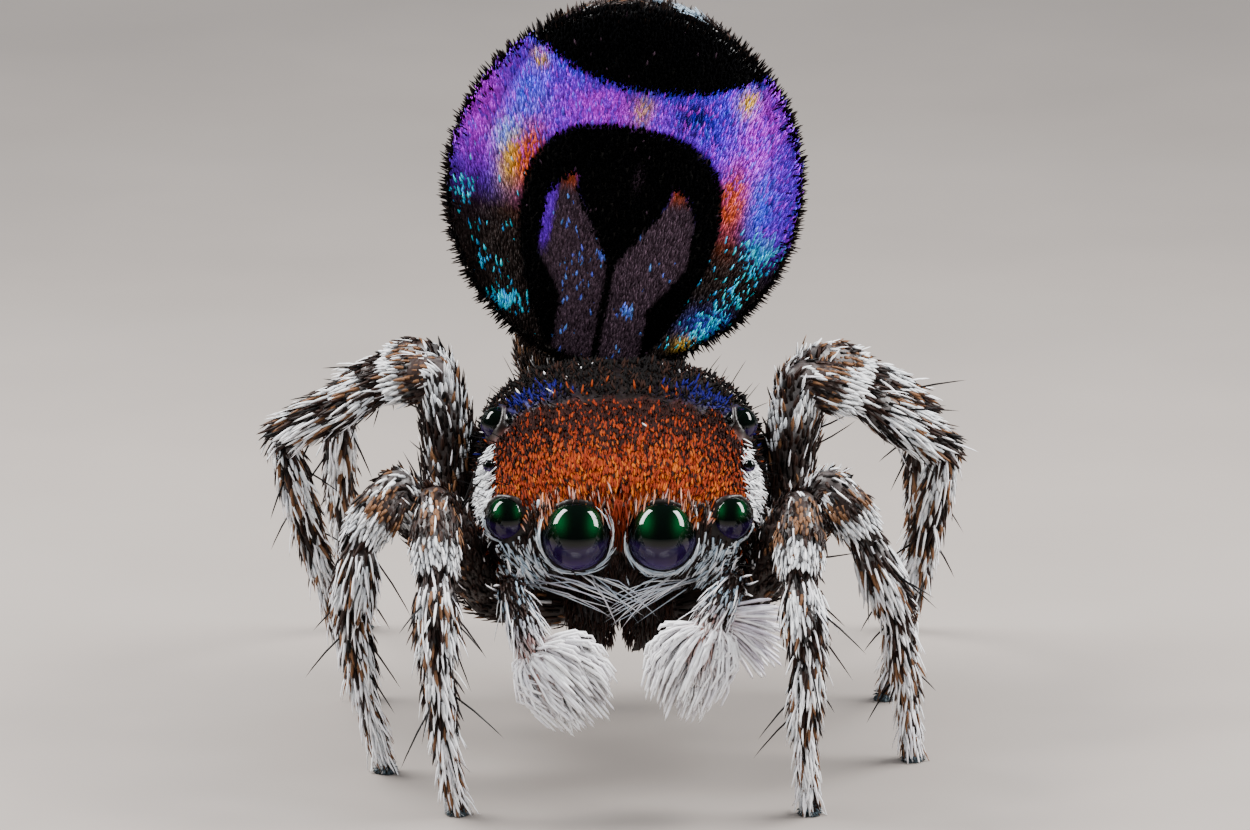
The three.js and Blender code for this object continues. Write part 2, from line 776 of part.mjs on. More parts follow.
const spider = new THREE.Group();
const { meshes: lenses, collars, sockets } = eyeParts();
const head = sockets.reduce(
  (body, socket) => body.subtract(socket),
  join([carapaceBody(), ...collars, ...beard()]),
);
const headroom = join([carapaceBody(GAP), ...sockets, ...beard()]);
spider.add(meshOf(head, "carapace", MASK), ...lenses);
spider.add(sternum(), pedicel(), abdomenParts());
for (const [side, sign] of SIDES) spider.add(chelicera(sign, side, headroom));
Object.entries(LEGS).forEach(([name, joints], i) => {
  spider.add(...legParts(name, joints, LEG_SEED + LIMB_SEED_STEP * i));
});
Object.entries(PALPS).forEach(([name, joints], i) => {
  spider.add(...palpParts(name, joints, PALP_SEED + LIMB_SEED_STEP * i));
});

// The floor goes to Z = 0, under the middle of the bounding box
const model = new THREE.Group();
model.add(spider);
model.updateMatrixWorld(true);
const box = new THREE.Box3().setFromObject(spider, true);
const middle = box.getCenter(new THREE.Vector3());
spider.position.set(-middle.x, -middle.y, -FLOOR);

export default model;
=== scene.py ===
"""Finish of a displaying peacock spider: one skin, its scales and bristles, glossy eyes, the stage."""

import bpy
import numpy as np
from bpy.props import FloatProperty, FloatVectorProperty, IntProperty, PointerProperty
from bpy.types import Operator, Panel, PropertyGroup
from mathutils import Matrix, Vector


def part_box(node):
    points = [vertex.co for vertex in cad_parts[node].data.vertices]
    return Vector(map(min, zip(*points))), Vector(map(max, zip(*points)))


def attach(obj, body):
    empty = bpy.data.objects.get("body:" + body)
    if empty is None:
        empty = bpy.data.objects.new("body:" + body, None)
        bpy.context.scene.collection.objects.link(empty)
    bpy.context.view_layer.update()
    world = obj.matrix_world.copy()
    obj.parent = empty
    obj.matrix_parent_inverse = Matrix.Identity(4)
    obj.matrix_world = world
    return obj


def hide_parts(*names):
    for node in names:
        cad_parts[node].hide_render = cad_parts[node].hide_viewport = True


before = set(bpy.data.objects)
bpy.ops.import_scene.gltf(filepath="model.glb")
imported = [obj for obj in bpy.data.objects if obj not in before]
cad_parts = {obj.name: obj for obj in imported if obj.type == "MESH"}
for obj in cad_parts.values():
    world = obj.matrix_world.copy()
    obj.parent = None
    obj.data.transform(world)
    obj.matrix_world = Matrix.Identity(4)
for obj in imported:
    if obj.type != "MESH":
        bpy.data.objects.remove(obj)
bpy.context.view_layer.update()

bl_info = {
    "name": "Peacock spider finish",
    "version": (1, 0, 0),
    "blender": (4, 5, 0),
    "location": "3D View > Sidebar > Spider",
    "description": "Skin, scales, bristles, eyes and stage of a displaying peacock spider",
    "category": "Object",
}

# All shapes are worked out in millimetres, from the point midway between the front middle eyes,
# on the face's front plane: +X is the spider's left, +Y its rear, +Z up.
MM = 0.001
SIDES = (("right", -1), ("left", 1))  # and the sign of their X
EYE_CENTRE_DEPTH = 0.015  # of the front middle eyes' centres behind the front plane


def box_middle(node):
    low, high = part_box(node)
    return (low + high) / 2


EYES_MIDPOINT = (box_middle("eye_front_middle_left") + box_middle("eye_front_middle_right")) / 2
ORIGIN = np.array(EYES_MIDPOINT) - np.array([0.0, EYE_CENTRE_DEPTH, 0.0]) * MM
FLOOR = -ORIGIN[2] / MM


def linear(code):
    """An sRGB hex colour as linear red, green and blue."""
    srgb = np.array([int(code[i:i + 2], 16) / 255 for i in (1, 3, 5)])
    return np.where(srgb <= 0.04045, srgb / 12.92, ((srgb + 0.055) / 1.055) ** 2.4)


def unit(vectors):
    return vectors / np.maximum(np.linalg.norm(vectors, axis=-1, keepdims=True), 1e-9)


def smoothstep(low, high, value):
    """Rises from 0 to 1 between low and high, as 3t squared minus 2t cubed."""
    share = np.clip((value - low) / (high - low), 0, 1)
    return share * share * (3 - 2 * share)


def mixed(first, second, share):
    """Colours between two others, by a share for each point."""
    return first + (second - first) * np.asarray(share)[..., None]


def columns(*parts):
    """Arrays and single values side by side, each broadcast to the others, along a new last axis."""
    return np.stack(np.broadcast_arrays(*parts), axis=-1)


def softened(values, window):
    """Moving average over a window of samples; mirroring through the ends keeps them in place."""
    half = window // 2
    head = 2 * values[:1] - values[half:0:-1]
    tail = 2 * values[-1:] - values[-2:-half - 2:-1]
    padded = np.concatenate([head, values, tail])
    sums = np.cumsum(np.concatenate([np.zeros_like(padded[:1]), padded]), axis=0)
    width = 2 * half + 1
    return (sums[width:] - sums[:-width]) / width


def even_pairs(count, seed):
    """Evenly spread pairs from 0 to 1: multiples of two irrational steps after a seeded start."""
    start = np.random.default_rng(seed).random(2)
    return (start + np.arange(count)[:, None] * np.array([0.75487767, 0.56984029])) % 1


# Carapace
# Each row is a ring along Y: place, half width, roof height and floor height.
CARAPACE_STATIONS = np.array([
    [0.0, 0.40, 0.11, -0.14], [0.03, 0.45, 0.17, -0.18], [0.12, 0.475, 0.225, -0.21],
    [0.3, 0.495, 0.295, -0.24], [0.5, 0.512, 0.355, -0.25], [0.7, 0.53, 0.405, -0.25],
    [0.88, 0.535, 0.425, -0.25], [1.02, 0.51, 0.395, -0.25], [1.14, 0.45, 0.27, -0.25],
    [1.25, 0.36, 0.1, -0.245], [1.33, 0.25, -0.02, -0.235], [1.37, 0.14, -0.09, -0.2],
])
ROOF_SQUARENESS = 2.7
BELLY_SQUARENESS = 3.2
WIDEST_SHARE = 0.35  # height of the widest place, between floor and roof
CARAPACE_END = 1.37
FINE_STATIONS = np.linspace(0, CARAPACE_END, 275)
FINE_CARAPACE = np.stack([
    softened(np.interp(FINE_STATIONS, CARAPACE_STATIONS[:, 0], CARAPACE_STATIONS[:, column]), 15)
    for column in (1, 2, 3)
], axis=1)


def carapace(y, turn, inset=0.0):
    """A rounded-square ring at y: powers of the turn's cosine and sine, wider above than below."""
    half, roof, floor = (np.interp(y, FINE_STATIONS, FINE_CARAPACE[:, i]) for i in range(3))
    widest = floor + WIDEST_SHARE * (roof - floor)
    c, s = np.cos(turn), np.sin(turn)
    power = 2 / np.where(s >= 0, ROOF_SQUARENESS, BELLY_SQUARENESS)
    reach = np.where(s >= 0, roof - widest, widest - floor) - inset
    x = (half - inset) * np.sign(c) * np.abs(c) ** power
    z = widest + reach * np.sign(s) * np.abs(s) ** power
    return columns(x, y, z)


# Eyes
# Centre on the spider's left, radius and viewing direction.
EYES = {
    "front_middle": ((0.158, 0.015, 0.0), 0.13, (0.0, -1.0, 0.0)),
    "front_side": ((0.41, 0.07, 0.05), 0.082, (0.5, -0.85, 0.05)),
    "rear_small": ((0.482, 0.36, 0.17), 0.022, (0.95, -0.1, 0.2)),
    "rear_side": ((0.452, 0.62, 0.262), 0.062, (0.85, -0.2, 0.45)),
}


def mirrored(point, sign):
    return np.array(point) * np.array([sign, 1, 1])


def clear_of_eyes(points):
    """0 beside a lens, rising to 1 a few hairs' width away from it."""
    clear = np.ones(len(points))
    for at, radius, _ in EYES.values():
        for _, sign in SIDES:
            gap = np.linalg.norm(points - mirrored(at, sign), axis=1) - radius
            clear = clear * smoothstep(0.008, 0.03, gap)
    return clear


def off_eyes(points, margin):
    """True where a point is farther than a margin from all eight lenses."""
    clear = np.ones(len(points), dtype=bool)
    for at, radius, _ in EYES.values():
        for _, sign in SIDES:
            clear &= np.linalg.norm(points - mirrored(at, sign), axis=1) > radius + margin
    return clear


# Abdomen, in its own frame: origin at the waist, +Z to the spinnerets, -Y the displayed back
WAIST = np.array([-0.14, 1.5, 0.1])
ABDOMEN_LEAN = np.radians(10)
FAN_WIDTH = 1.336
FAN_LENGTH = 1.405
FAN_MIDDLE = 0.91
FAN_PLANE = -0.2
BODY_WIDTH_SHARE = 0.8
BACK_DEPTH = 0.1
BELLY_DEPTH = 0.56
DISH = 0.07
FLAP_THICKNESS = 0.034
MEETING_BLUR = 0.045  # rounds the crease where the flaps meet the back
SWELL_POWER = 0.82
# Centre and half sizes of the abdomen's rounded front end, and of the sternum in the main frame
HAUNCH_CENTRE = (0.03, 0.04, 0.22)
HAUNCH_HALVES = (0.31, 0.235, 0.315)
STERNUM_CENTRE = (0, 0.72, -0.29)
STERNUM_HALVES = (0.2, 0.47, 0.12)
LEAN_MATRIX = np.array([
    [np.cos(ABDOMEN_LEAN), 0, np.sin(ABDOMEN_LEAN)],
    [0, 1, 0],
    [-np.sin(ABDOMEN_LEAN), 0, np.cos(ABDOMEN_LEAN)],
])


def leaning(points):
    """From the abdomen's own frame to the main one."""
    return points @ LEAN_MATRIX.T + WAIST


def upright(points):
    """From the main frame to the abdomen's own."""
    return (points - WAIST) @ LEAN_MATRIX


def swell_at(height):
    """Fullness of the abdomen at a height: a circle's half width, to a power."""
    return np.sqrt(np.clip(1 - (height / (FAN_LENGTH / 2)) ** 2, 0, 1)) ** SWELL_POWER


def fan_front(p, q):
    """The displayed back over (p, q), shares of its half width and half length: the fuller of
    the abdomen's elliptical swell and the flaps' shallow cone, rounded where they meet."""
    height = q * FAN_LENGTH / 2
    x = p * FAN_WIDTH / 2
    swell = swell_at(height)
    half = np.maximum(BODY_WIDTH_SHARE * swell * FAN_WIDTH / 2, 1e-6)
    body = BACK_DEPTH * swell * np.sqrt(np.clip(1 - (x / half) ** 2, 0, 1))
    cone = DISH * (1 - np.hypot(p, q))
    fuller = (body + cone + np.sqrt((body - cone) ** 2 + MEETING_BLUR ** 2)) / 2
    return columns(x, FAN_PLANE - fuller, FAN_MIDDLE + height)


def abdomen(share, turn, inset=0.0):
    """The abdomen's body: half ellipses in each cross section, flat on the back, deep behind."""
    angle = np.pi * (0.03 + 0.94 * share)
    height = -np.cos(angle) * (FAN_LENGTH / 2 - inset)
    swell = np.sin(angle) ** SWELL_POWER
    belly = BELLY_DEPTH * (0.86 - 0.2 * height / (FAN_LENGTH / 2)) * swell
    s = np.sin(turn)
    depth = np.where(s < 0, BACK_DEPTH * swell, belly) - inset
    half = BODY_WIDTH_SHARE * swell * FAN_WIDTH / 2 - inset
    return columns(half * np.cos(turn), FAN_PLANE + depth * s, FAN_MIDDLE + height)


def stretched_sphere(centre, halves, angle, turn):
    """A sphere stretched to three half sizes: the angle is measured up from its lowest point."""
    sphere = columns(np.sin(angle) * np.cos(turn), np.sin(angle) * np.sin(turn), -np.cos(angle))
    return np.array(centre) + sphere * np.array(halves)


def fan_back(p, q):
    """The hidden rear face of the flaps: the same cone, a flap's thickness further back."""
    cone = DISH * (1 - np.hypot(p, q))
    return columns(p * FAN_WIDTH / 2, FAN_PLANE - cone + FLAP_THICKNESS,
                   FAN_MIDDLE + q * FAN_LENGTH / 2)


# Limbs
# Joints of each leg: hip, knee, end of the kneecap, end of the shin, ankle and tip.
LEGS = {
    "leg1_right": [(-0.5, 0.36, -0.33), (-0.678, -0.12, 0.165), (-0.67, -0.32, -0.052),
                   (-0.668, -0.47, -0.337), (-0.636, -0.5, -0.66), (-0.592, -0.45, -0.93)],
    "leg1_left": [(0.5, 0.36, -0.33), (0.667, -0.12, 0.15), (0.66, -0.32, -0.058),
                  (0.69, -0.46, -0.31), (0.68, -0.5, -0.6), (0.698, -0.45, -0.93)],
    "leg2_right": [(-0.55, 0.58, -0.33), (-0.822, 0.22, 0.135), (-0.95, 0.12, -0.045),
                   (-0.984, 0.06, -0.32), (-0.943, 0.06, -0.6), (-0.863, 0.1, -0.93)],
    "leg2_left": [(0.55, 0.58, -0.33), (0.776, 0.24, 0.13), (0.9, 0.2, -0.046),
                  (1.022, 0.22, -0.345), (1.063, 0.24, -0.64), (1.089, 0.26, -0.93)],
    "leg3_right": [(-0.6, 0.82, -0.33), (-0.665, 0.82, 0.4), (-0.86, 0.86, 0.355),
                   (-1.262, 0.95, 0.13), (-1.12, 1.02, -0.4), (-0.96, 1.08, -0.93)],
    "leg3_left": [(0.6, 0.82, -0.33), (0.66, 0.82, 0.39), (0.89, 0.86, 0.3),
                  (1.216, 0.93, 0.085), (1.12, 1.0, -0.42), (1.0, 1.08, -0.93)],
    "leg4_right": [(-0.53, 1.06, -0.33), (-0.7, 1.4, 0.3), (-0.85, 1.55, 0.24),
                   (-1.06, 1.8, 0.03), (-1.06, 1.95, -0.44), (-0.98, 2.05, -0.93)],
    "leg4_left": [(0.53, 1.06, -0.33), (0.735, 1.4, 0.295), (0.9, 1.54, 0.22),
                  (1.14, 1.78, 0.0), (1.14, 1.93, -0.46), (1.05, 2.04, -0.93)],
}
COXA_ROOT = (0.16, -0.365)  # distance from the middle line, and height
SKIN_SHARE = 0.94  # radius of the bare limb as a share of the coated one
# Radius of each segment and its profile, as rows of share along it and share of the radius
LEG_SEGMENTS = {
    "coxa": (0.1, ((0, 0.8), (0.5, 1.0), (1, 0.78))),
    "femur": (0.096, ((0.06, 0.7), (0.2, 0.95), (0.5, 1.04), (0.8, 0.92), (0.96, 0.72))),
    "kneecap": (0.09, ((0.06, 0.8), (0.5, 1.1), (0.95, 0.76))),
    "shin": (0.077, ((0.06, 0.72), (0.25, 1.0), (0.6, 1.02), (0.95, 0.7))),
    "foot": (0.057, ((0.06, 0.84), (0.25, 1.05), (0.7, 0.86), (0.96, 0.66))),
    "toe": (0.042, ((0.06, 0.8), (0.3, 0.98), (1, 0.72))),
}
# Joints of each palp: root, knee, end of the arm and end of the hand
PALPS = {
    "palp_right": [(-0.33, 0.1, -0.34), (-0.4, -0.19, -0.14), (-0.31, -0.31, -0.36),
                   (-0.17, -0.35, -0.56)],
    "palp_left": [(0.33, 0.1, -0.34), (0.42, -0.19, -0.12), (0.325, -0.31, -0.27),
                  (0.27, -0.36, -0.5)],
}
PALP_SEGMENTS = {
    "thigh": (0.055, ((0, 0.75), (0.5, 1.05), (0.96, 0.75))),
    "arm": (0.062, ((0.06, 0.8), (0.5, 1.0), (0.95, 0.8))),
    "hand": (0.068, ((0.06, 0.8), (0.35, 1.05), (0.8, 0.8), (1, 0.5))),
}
PATH_STEP = 0.008
JOINT_ROUNDING = 7  # samples averaged at a joint


class Limb:
    """A round limb: straight runs between joints, rounded at each by a moving average, with the
    radius read along its length and side vectors square to the plane that its joints lie in."""

    def __init__(self, joints, segments, share):
        joints = np.array(joints, dtype=float)
        self.ends = np.concatenate([[0], np.cumsum(np.linalg.norm(np.diff(joints, axis=0), axis=1))])
        self.length = self.ends[-1]
        self.s = np.linspace(0, self.length, int(self.length / PATH_STEP) + 1)
        straight = np.stack([np.interp(self.s, self.ends, joints[:, k]) for k in range(3)], axis=1)
        self.path = softened(straight, JOINT_ROUNDING)
        self.tangent = unit(np.gradient(self.path, axis=0))
        bend = joints[-1] - joints[1] if len(joints) > 2 else np.array([0.0, 1.0, 0.0])
        plane = np.cross(joints[1] - joints[0], bend)
        plane = unit(plane * (np.sign(plane[0]) or 1))
        self.side = unit(plane - self.tangent * (self.tangent @ plane)[:, None])
        self.out = np.cross(self.tangent, self.side)
        places, radii = [], []
        for (radius, profile), start, end in zip(segments.values(), self.ends, self.ends[1:]):
            places += [start + (end - start) * row[0] for row in profile]
            radii += [radius * share * row[1] for row in profile]
        self.full = softened(np.interp(self.s, places, radii), 3)
        to_end = np.minimum(self.s, self.length - self.s)
        depth = np.clip(to_end / self.full, 0, 1)
        self.radius = self.full * np.sqrt(np.clip(1 - (1 - depth) ** 2, 0, 1))
        self.names = list(segments)
        self.dark_cap = False

    def sample(self, table, s):
        return columns(*(np.interp(s, self.s, table[:, k]) for k in range(3)))

    def frame(self, s, turn):
        """Point, outward normal and direction to the tip, at a length and a turn round the limb."""
        tangent = unit(self.sample(self.tangent, s))
        side, out = self.sample(self.side, s), self.sample(self.out, s)
        normal = unit(side * np.cos(turn)[..., None] + out * np.sin(turn)[..., None])
        radius = np.interp(s, self.s, self.full)
        return self.sample(self.path, s) + normal * radius[..., None], normal, tangent

    def rings(self, sides):
        turn = np.linspace(0, 2 * np.pi, sides, endpoint=False)
        spokes = (self.side[:, None] * np.cos(turn)[None, :, None]
                  + self.out[:, None] * np.sin(turn)[None, :, None])
        return self.path[:, None] + spokes * self.radius[:, None, None]


def leg_joints(joints):
    """A leg's joints with the coxa's root on the sternum before them."""
    sign = np.sign(joints[0][0])
    return [(sign * COXA_ROOT[0], joints[0][1], COXA_ROOT[1])] + joints


LEG_LIMBS = {name: Limb(leg_joints(joints), LEG_SEGMENTS, SKIN_SHARE)
             for name, joints in LEGS.items()}
for side, _ in SIDES:
    LEG_LIMBS[f"leg1_{side}"].dark_cap = True
PALP_LIMBS = {name: Limb(joints, PALP_SEGMENTS, SKIN_SHARE) for name, joints in PALPS.items()}
WAIST_LIMB = Limb([(0, 1.24, -0.14), (-0.05, 1.52, -0.02)],
                  {"waist": (0.06, ((0, 1.0), (1, 1.0)))}, 1)


# Meshes

def placed(points):
    """Millimetres from the eyes' midpoint as metres in the shared frame, never below the floor."""
    held = np.array(points, dtype=float)
    held[..., 2] = np.maximum(held[..., 2], FLOOR)
    return ORIGIN + held * MM


def grid_faces(rows, columns):
    """Two triangles for each cell of a grid that closes on itself across its columns."""
    row, column = np.meshgrid(np.arange(rows - 1), np.arange(columns), indexing="ij")
    a = row * columns + column
    b = row * columns + (column + 1) % columns
    c, d = a + columns, b + columns
    return np.concatenate([
        np.stack([a, b, d], axis=-1).reshape(-1, 3), np.stack([a, d, c], axis=-1).reshape(-1, 3),
    ])


def closed_tube(rings):
    """Rings joined by faces, with a point in the middle of the first and last ring closing it."""
    rows, columns = rings.shape[:2]
    points = np.concatenate([rings.reshape(-1, 3), rings[:1].mean(1), rings[-1:].mean(1)])
    start, end = rows * columns, rows * columns + 1
    ring = np.arange(columns)
    follow = (ring + 1) % columns
    last = (rows - 1) * columns
    faces = np.concatenate([
        grid_faces(rows, columns),
        np.stack([follow, ring, np.full(columns, start)], axis=1),
        np.stack([last + ring, last + follow, np.full(columns, end)], axis=1),
    ])
    return points, faces


def outward(points, faces):
    """Turns a closed shape's faces round if the volume that they bound comes out negative."""
    a, b, c = (points[faces[:, k]] for k in range(3))
    volume = np.einsum("ij,ij->i", a, np.cross(b, c)).sum()
    return faces if volume > 0 else faces[:, ::-1]


def merged(shapes):
    """Several shapes as one list of points and one of faces."""
    points, faces, count = [], [], 0
    for shape_points, shape_faces in shapes:
        points.append(shape_points)
        faces.append(outward(shape_points, shape_faces) + count)
        count += len(shape_points)
    return np.concatenate(points), np.concatenate(faces)


def new_object(name, points, faces, colours=None, places=None):
    mesh = bpy.data.meshes.new(name)
    mesh.from_pydata(points, [], faces)
    if colours is not None:
        paint(mesh, colours)
    if places is not None:
        layer = mesh.uv_layers.new(name="OFBake")
        layer.uv.foreach_set("vector", places[faces.ravel()].astype(np.float32).ravel())
    mesh.polygons.foreach_set("use_smooth", np.ones(len(mesh.polygons), dtype=bool))
    mesh.update()
    piece = bpy.data.objects.new(name, mesh)
    bpy.context.collection.objects.link(piece)
    return piece


def paint(mesh, colours):
    """Stores a colour for each vertex, which the materials read as the attribute Marking."""
    layer = mesh.color_attributes.new("Marking", "FLOAT_COLOR", "POINT")
    rgba = np.concatenate([np.clip(colours, 0, 1), np.ones((len(colours), 1))], axis=1)
    layer.data.foreach_set("color", rgba.astype(np.float32).ravel())


def finish_piece(piece, material, nodes=()):
    piece.data.materials.append(material)
    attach(piece, "root")
    if nodes:
        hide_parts(*nodes)


# Materials

NOISE_SPAN = (0.3, 0.7)  # where nearly all values of a noise lie
NOISE_DETAIL = 3.0
BUMP_STRENGTH = 0.6


def add_node(tree, kind, settings=None, links=None):
    """Adds a shader node, sets its properties and inputs, and links other nodes' outputs to it."""
    node = tree.nodes.new(kind)
    for key, value in (settings or {}).items():
        if key in node.inputs:
            node.inputs[key].default_value = value
        else:
            setattr(node, key, value)
    for key, socket in (links or {}).items():
        tree.links.new(socket, node.inputs[key])
    return node


def marked_material(name, shader, grain, bump=None):
    """A finish whose colour is the piece's own Marking, lightened and darkened by a fine grain.

    grain is (size in metres, strength); bump is (size in metres, depth in metres).
    """
    material = bpy.data.materials.new(name)
    material.use_nodes = True
    tree = material.node_tree
    tree.nodes.clear()
    output = add_node(tree, "ShaderNodeOutputMaterial")
    place = add_node(tree, "ShaderNodeTexCoord")
    marking = add_node(tree, "ShaderNodeAttribute", {"attribute_name": "Marking"})
    noise = add_node(tree, "ShaderNodeTexNoise", {"Scale": 1 / grain[0], "Detail": NOISE_DETAIL},
                     {"Vector": place.outputs["Object"]})
    level = add_node(tree, "ShaderNodeMapRange",
                     {"From Min": NOISE_SPAN[0], "From Max": NOISE_SPAN[1],
                      "To Min": 1 - grain[1], "To Max": 1 + grain[1]},
                     {"Value": noise.outputs["Fac"]})
    tint = add_node(tree, "ShaderNodeVectorMath", {"operation": "SCALE"},
                    {"Vector": marking.outputs["Color"], "Scale": level.outputs["Result"]})
    surface = add_node(tree, "ShaderNodeBsdfPrincipled", shader, {"Base Color": tint.outputs["Vector"]})
    if bump:
        relief = add_node(tree, "ShaderNodeTexVoronoi", {"Scale": 1 / bump[0]},
                          {"Vector": place.outputs["Object"]})
        height = add_node(tree, "ShaderNodeBump", {"Strength": BUMP_STRENGTH, "Distance": bump[1]},
                          {"Height": relief.outputs["Distance"]})
        tree.links.new(height.outputs["Normal"], surface.inputs["Normal"])
    tree.links.new(surface.outputs["BSDF"], output.inputs["Surface"])
    return material


# Coat
# Profiles of a strand: rows of share along it and share of its width.

ROUND_HAIR = ((0.0, 1.0), (0.45, 0.9), (0.8, 0.55))
LANCE = ((0.25, 0.9), (0.55, 1.0), (0.82, 0.6))
SHORT_LANCE = LANCE[:2]
LEAF = ((0.0, 0.55), (0.4, 1.0), (0.8, 0.7))
SHORT_LEAF = LEAF[:2]
BLUNT = ((0.0, 0.5), (0.12, 0.8), (0.35, 1.0), (0.75, 1.0), (0.95, 0.72))
SINK = 0.06  # share of a strand that lies in the skin
PATCH = 0.003  # size of a tuft's patch on the unwrap
DIFFERENCE_STEP = 2e-3  # of a surface's two parameters, for its slopes
SPARE_PLACES = 3  # places tried for each one wanted


def strands(root, along, normal, length, width, profile, bend, flat=1.0, sides=3):
    """Tapered strands: each centre line runs from its root along a direction, plus a bend that
    grows with the square of the distance; rings of its width close in a point at the tip.

    Returns points (strands, ring points, 3), the faces of one strand, and how far along the
    strand each point lies. flat is its thickness as a share of its width.
    """
    count = len(root)
    bend = np.broadcast_to(bend, (count, 3))
    share, swell = np.array(profile).T
    size = np.broadcast_to(length, count)[:, None, None]
    step = share[None, :, None]
    start = root - along * size[:, :, 0] * SINK
    centre = start[:, None] + size * (along[:, None] * step + bend[:, None] * step ** 2)
    tip = start[:, None] + size * (along[:, None] + bend[:, None])
    tangent = unit(along[:, None] + 2 * bend[:, None] * step)
    side = unit(np.cross(along, normal))[:, None] + 0 * tangent
    out = unit(np.cross(side, tangent))
    turn = np.pi / 2 + np.linspace(0, 2 * np.pi, sides, endpoint=False)
    half = np.broadcast_to(width, count)[:, None, None] / 2 * swell[None, :, None]
    rings = (centre[:, :, None]
             + side[:, :, None] * (half * np.cos(turn))[..., None]
             + out[:, :, None] * (half * flat * np.sin(turn))[..., None])
    points = np.concatenate([rings.reshape(count, -1, 3), tip], axis=1)
    rows = len(profile)
    ring = np.arange(sides)
    last = (rows - 1) * sides
    cap = [[0, k + 1, k] for k in range(1, sides - 1)]
    faces = np.concatenate([
        grid_faces(rows, sides),
        np.stack([last + ring, last + (ring + 1) % sides, np.full(sides, rows * sides)], axis=1),
        np.array(cap).reshape(-1, 3),
    ])
    distance = np.concatenate([np.repeat(share, sides), [1.0]])
    return points, outward(points[0] - points[0].mean(0), faces), distance


class Coat:
    """Gathers groups of strands, with their colours and places on the skin's unwrap, as one piece."""

    def __init__(self):
        self.points, self.faces, self.colours, self.places, self.count = [], [], [], [], 0

    def add(self, made, place, root_colour, tip_colour=None, ramp=1.0):
        """Adds made strands; the root's colour gives way to the tip's over ramp, a share of them."""
        points, faces, distance = made
        strand_count, ring_count = points.shape[:2]
        first = self.count + np.arange(strand_count)[:, None, None] * ring_count
        self.faces.append((faces[None] + first).reshape(-1, 3))
        self.points.append(points.reshape(-1, 3))
        tip_colour = root_colour if tip_colour is None else tip_colour
        start = np.broadcast_to(root_colour, (strand_count, 3))[:, None]
        end = np.broadcast_to(tip_colour, (strand_count, 3))[:, None]
        share = np.clip(distance / ramp, 0, 1)[None, :, None]
        self.colours.append((start + (end - start) * share).reshape(-1, 3))
        across = (np.arange(ring_count) % 2 - 0.5) * PATCH
        patch = np.stack([across, (distance - 0.5) * PATCH], axis=1)
        self.places.append((place[:, None] * (1 - PATCH) + PATCH / 2 + patch[None]).reshape(-1, 2))
        self.count += strand_count * ring_count

    def lay(self, root, along, normal, length, width, place, root_colour, tip_colour=None,
            profile=LANCE, settle=0.15, flat=0.5):
        """Adds strands whose tips settle back towards the surface, by a share of their length."""
        self.add(strands(root, along, normal, length, width, profile, -normal * settle, flat),
                 place, root_colour, tip_colour)


def grow(name, material, layers, moved=None):
    """Makes one piece of the coat: each layer adds its strands, and moved takes them to their
    place where they are worked out in the abdomen's own frame."""
    coat = Coat()
    for layer in layers:
        layer(coat)
    points = np.concatenate(coat.points)
    piece = new_object(name, placed(moved(points) if moved else points), np.concatenate(coat.faces),
                       np.concatenate(coat.colours), np.concatenate(coat.places))
    finish_piece(piece, material)


def surface_frame(surface, u, v):
    """Point, normal and unit steps of a surface, from differences either side of each place."""
    step = DIFFERENCE_STEP
    along_u = surface(u + step, v) - surface(u - step, v)
    along_v = surface(u, v + step) - surface(u, v - step)
    return surface(u, v), unit(np.cross(along_u, along_v)), unit(along_u), unit(along_v)


def scatter(surface, u_range, v_range, count, seed, keep=None):
    """Places spread evenly by area: even pairs over the range, thinned by the surface's stretch."""
    pairs = even_pairs(int(count * SPARE_PLACES), seed)
    u = u_range[0] + pairs[:, 0] * (u_range[1] - u_range[0])
    v = v_range[0] + pairs[:, 1] * (v_range[1] - v_range[0])
    step = DIFFERENCE_STEP
    area = np.linalg.norm(np.cross(surface(u + step, v) - surface(u - step, v),
                                   surface(u, v + step) - surface(u, v - step)), axis=1)
    rng = np.random.default_rng(seed + 1)
    kept = rng.random(len(u)) < area / np.percentile(area, 97)
    if keep is not None:
        kept &= keep(surface(u, v))
    chosen = np.flatnonzero(kept)
    if len(chosen) > count:
        chosen = rng.choice(chosen, count, replace=False)
    return u[chosen], v[chosen]


def jitter(rng, count, amount):
    return rng.normal(0, amount, (count, 3))


# Seeds of each layer's random draws, and of the layers' even spreads
DRAWS = {
    "mask": 31, "dome": 32, "stripes": 33, "lashes": 34, "rims": 35, "face": 36, "beard": 37,
    "underside": 39, "rear": 40, "band": 41, "velvet": 42, "fringe": 43, "belly": 44, "haunch": 45,
    "setae": 46, "palps": 50, "outer_fan": 57,
}
SPREADS = {
    "mask": 5, "dome": 6, "left_stripe": 7, "right_stripe": 8, "band": 21, "velvet": 22, "belly": 23,
    "flaps": 24, "haunch": 25, "jaws": 38, "brush": 52, "arm": 60, "hand": 64, "palp_sides": 68,
    "sternum": 91, "underside": 92, "waist": 93, "setae": 94, "legs": 100,
}


def draws(layer, offset=0):
    return np.random.default_rng(DRAWS[layer] + offset)


# Markings

class SpiderColours(PropertyGroup):
    """Colours of the scales, hairs and cuticle."""


def colour_property(label, text, code):
    return FloatVectorProperty(name=label, description=text, subtype="COLOR", size=3,
                               min=0, max=1, default=tuple(linear(code)))


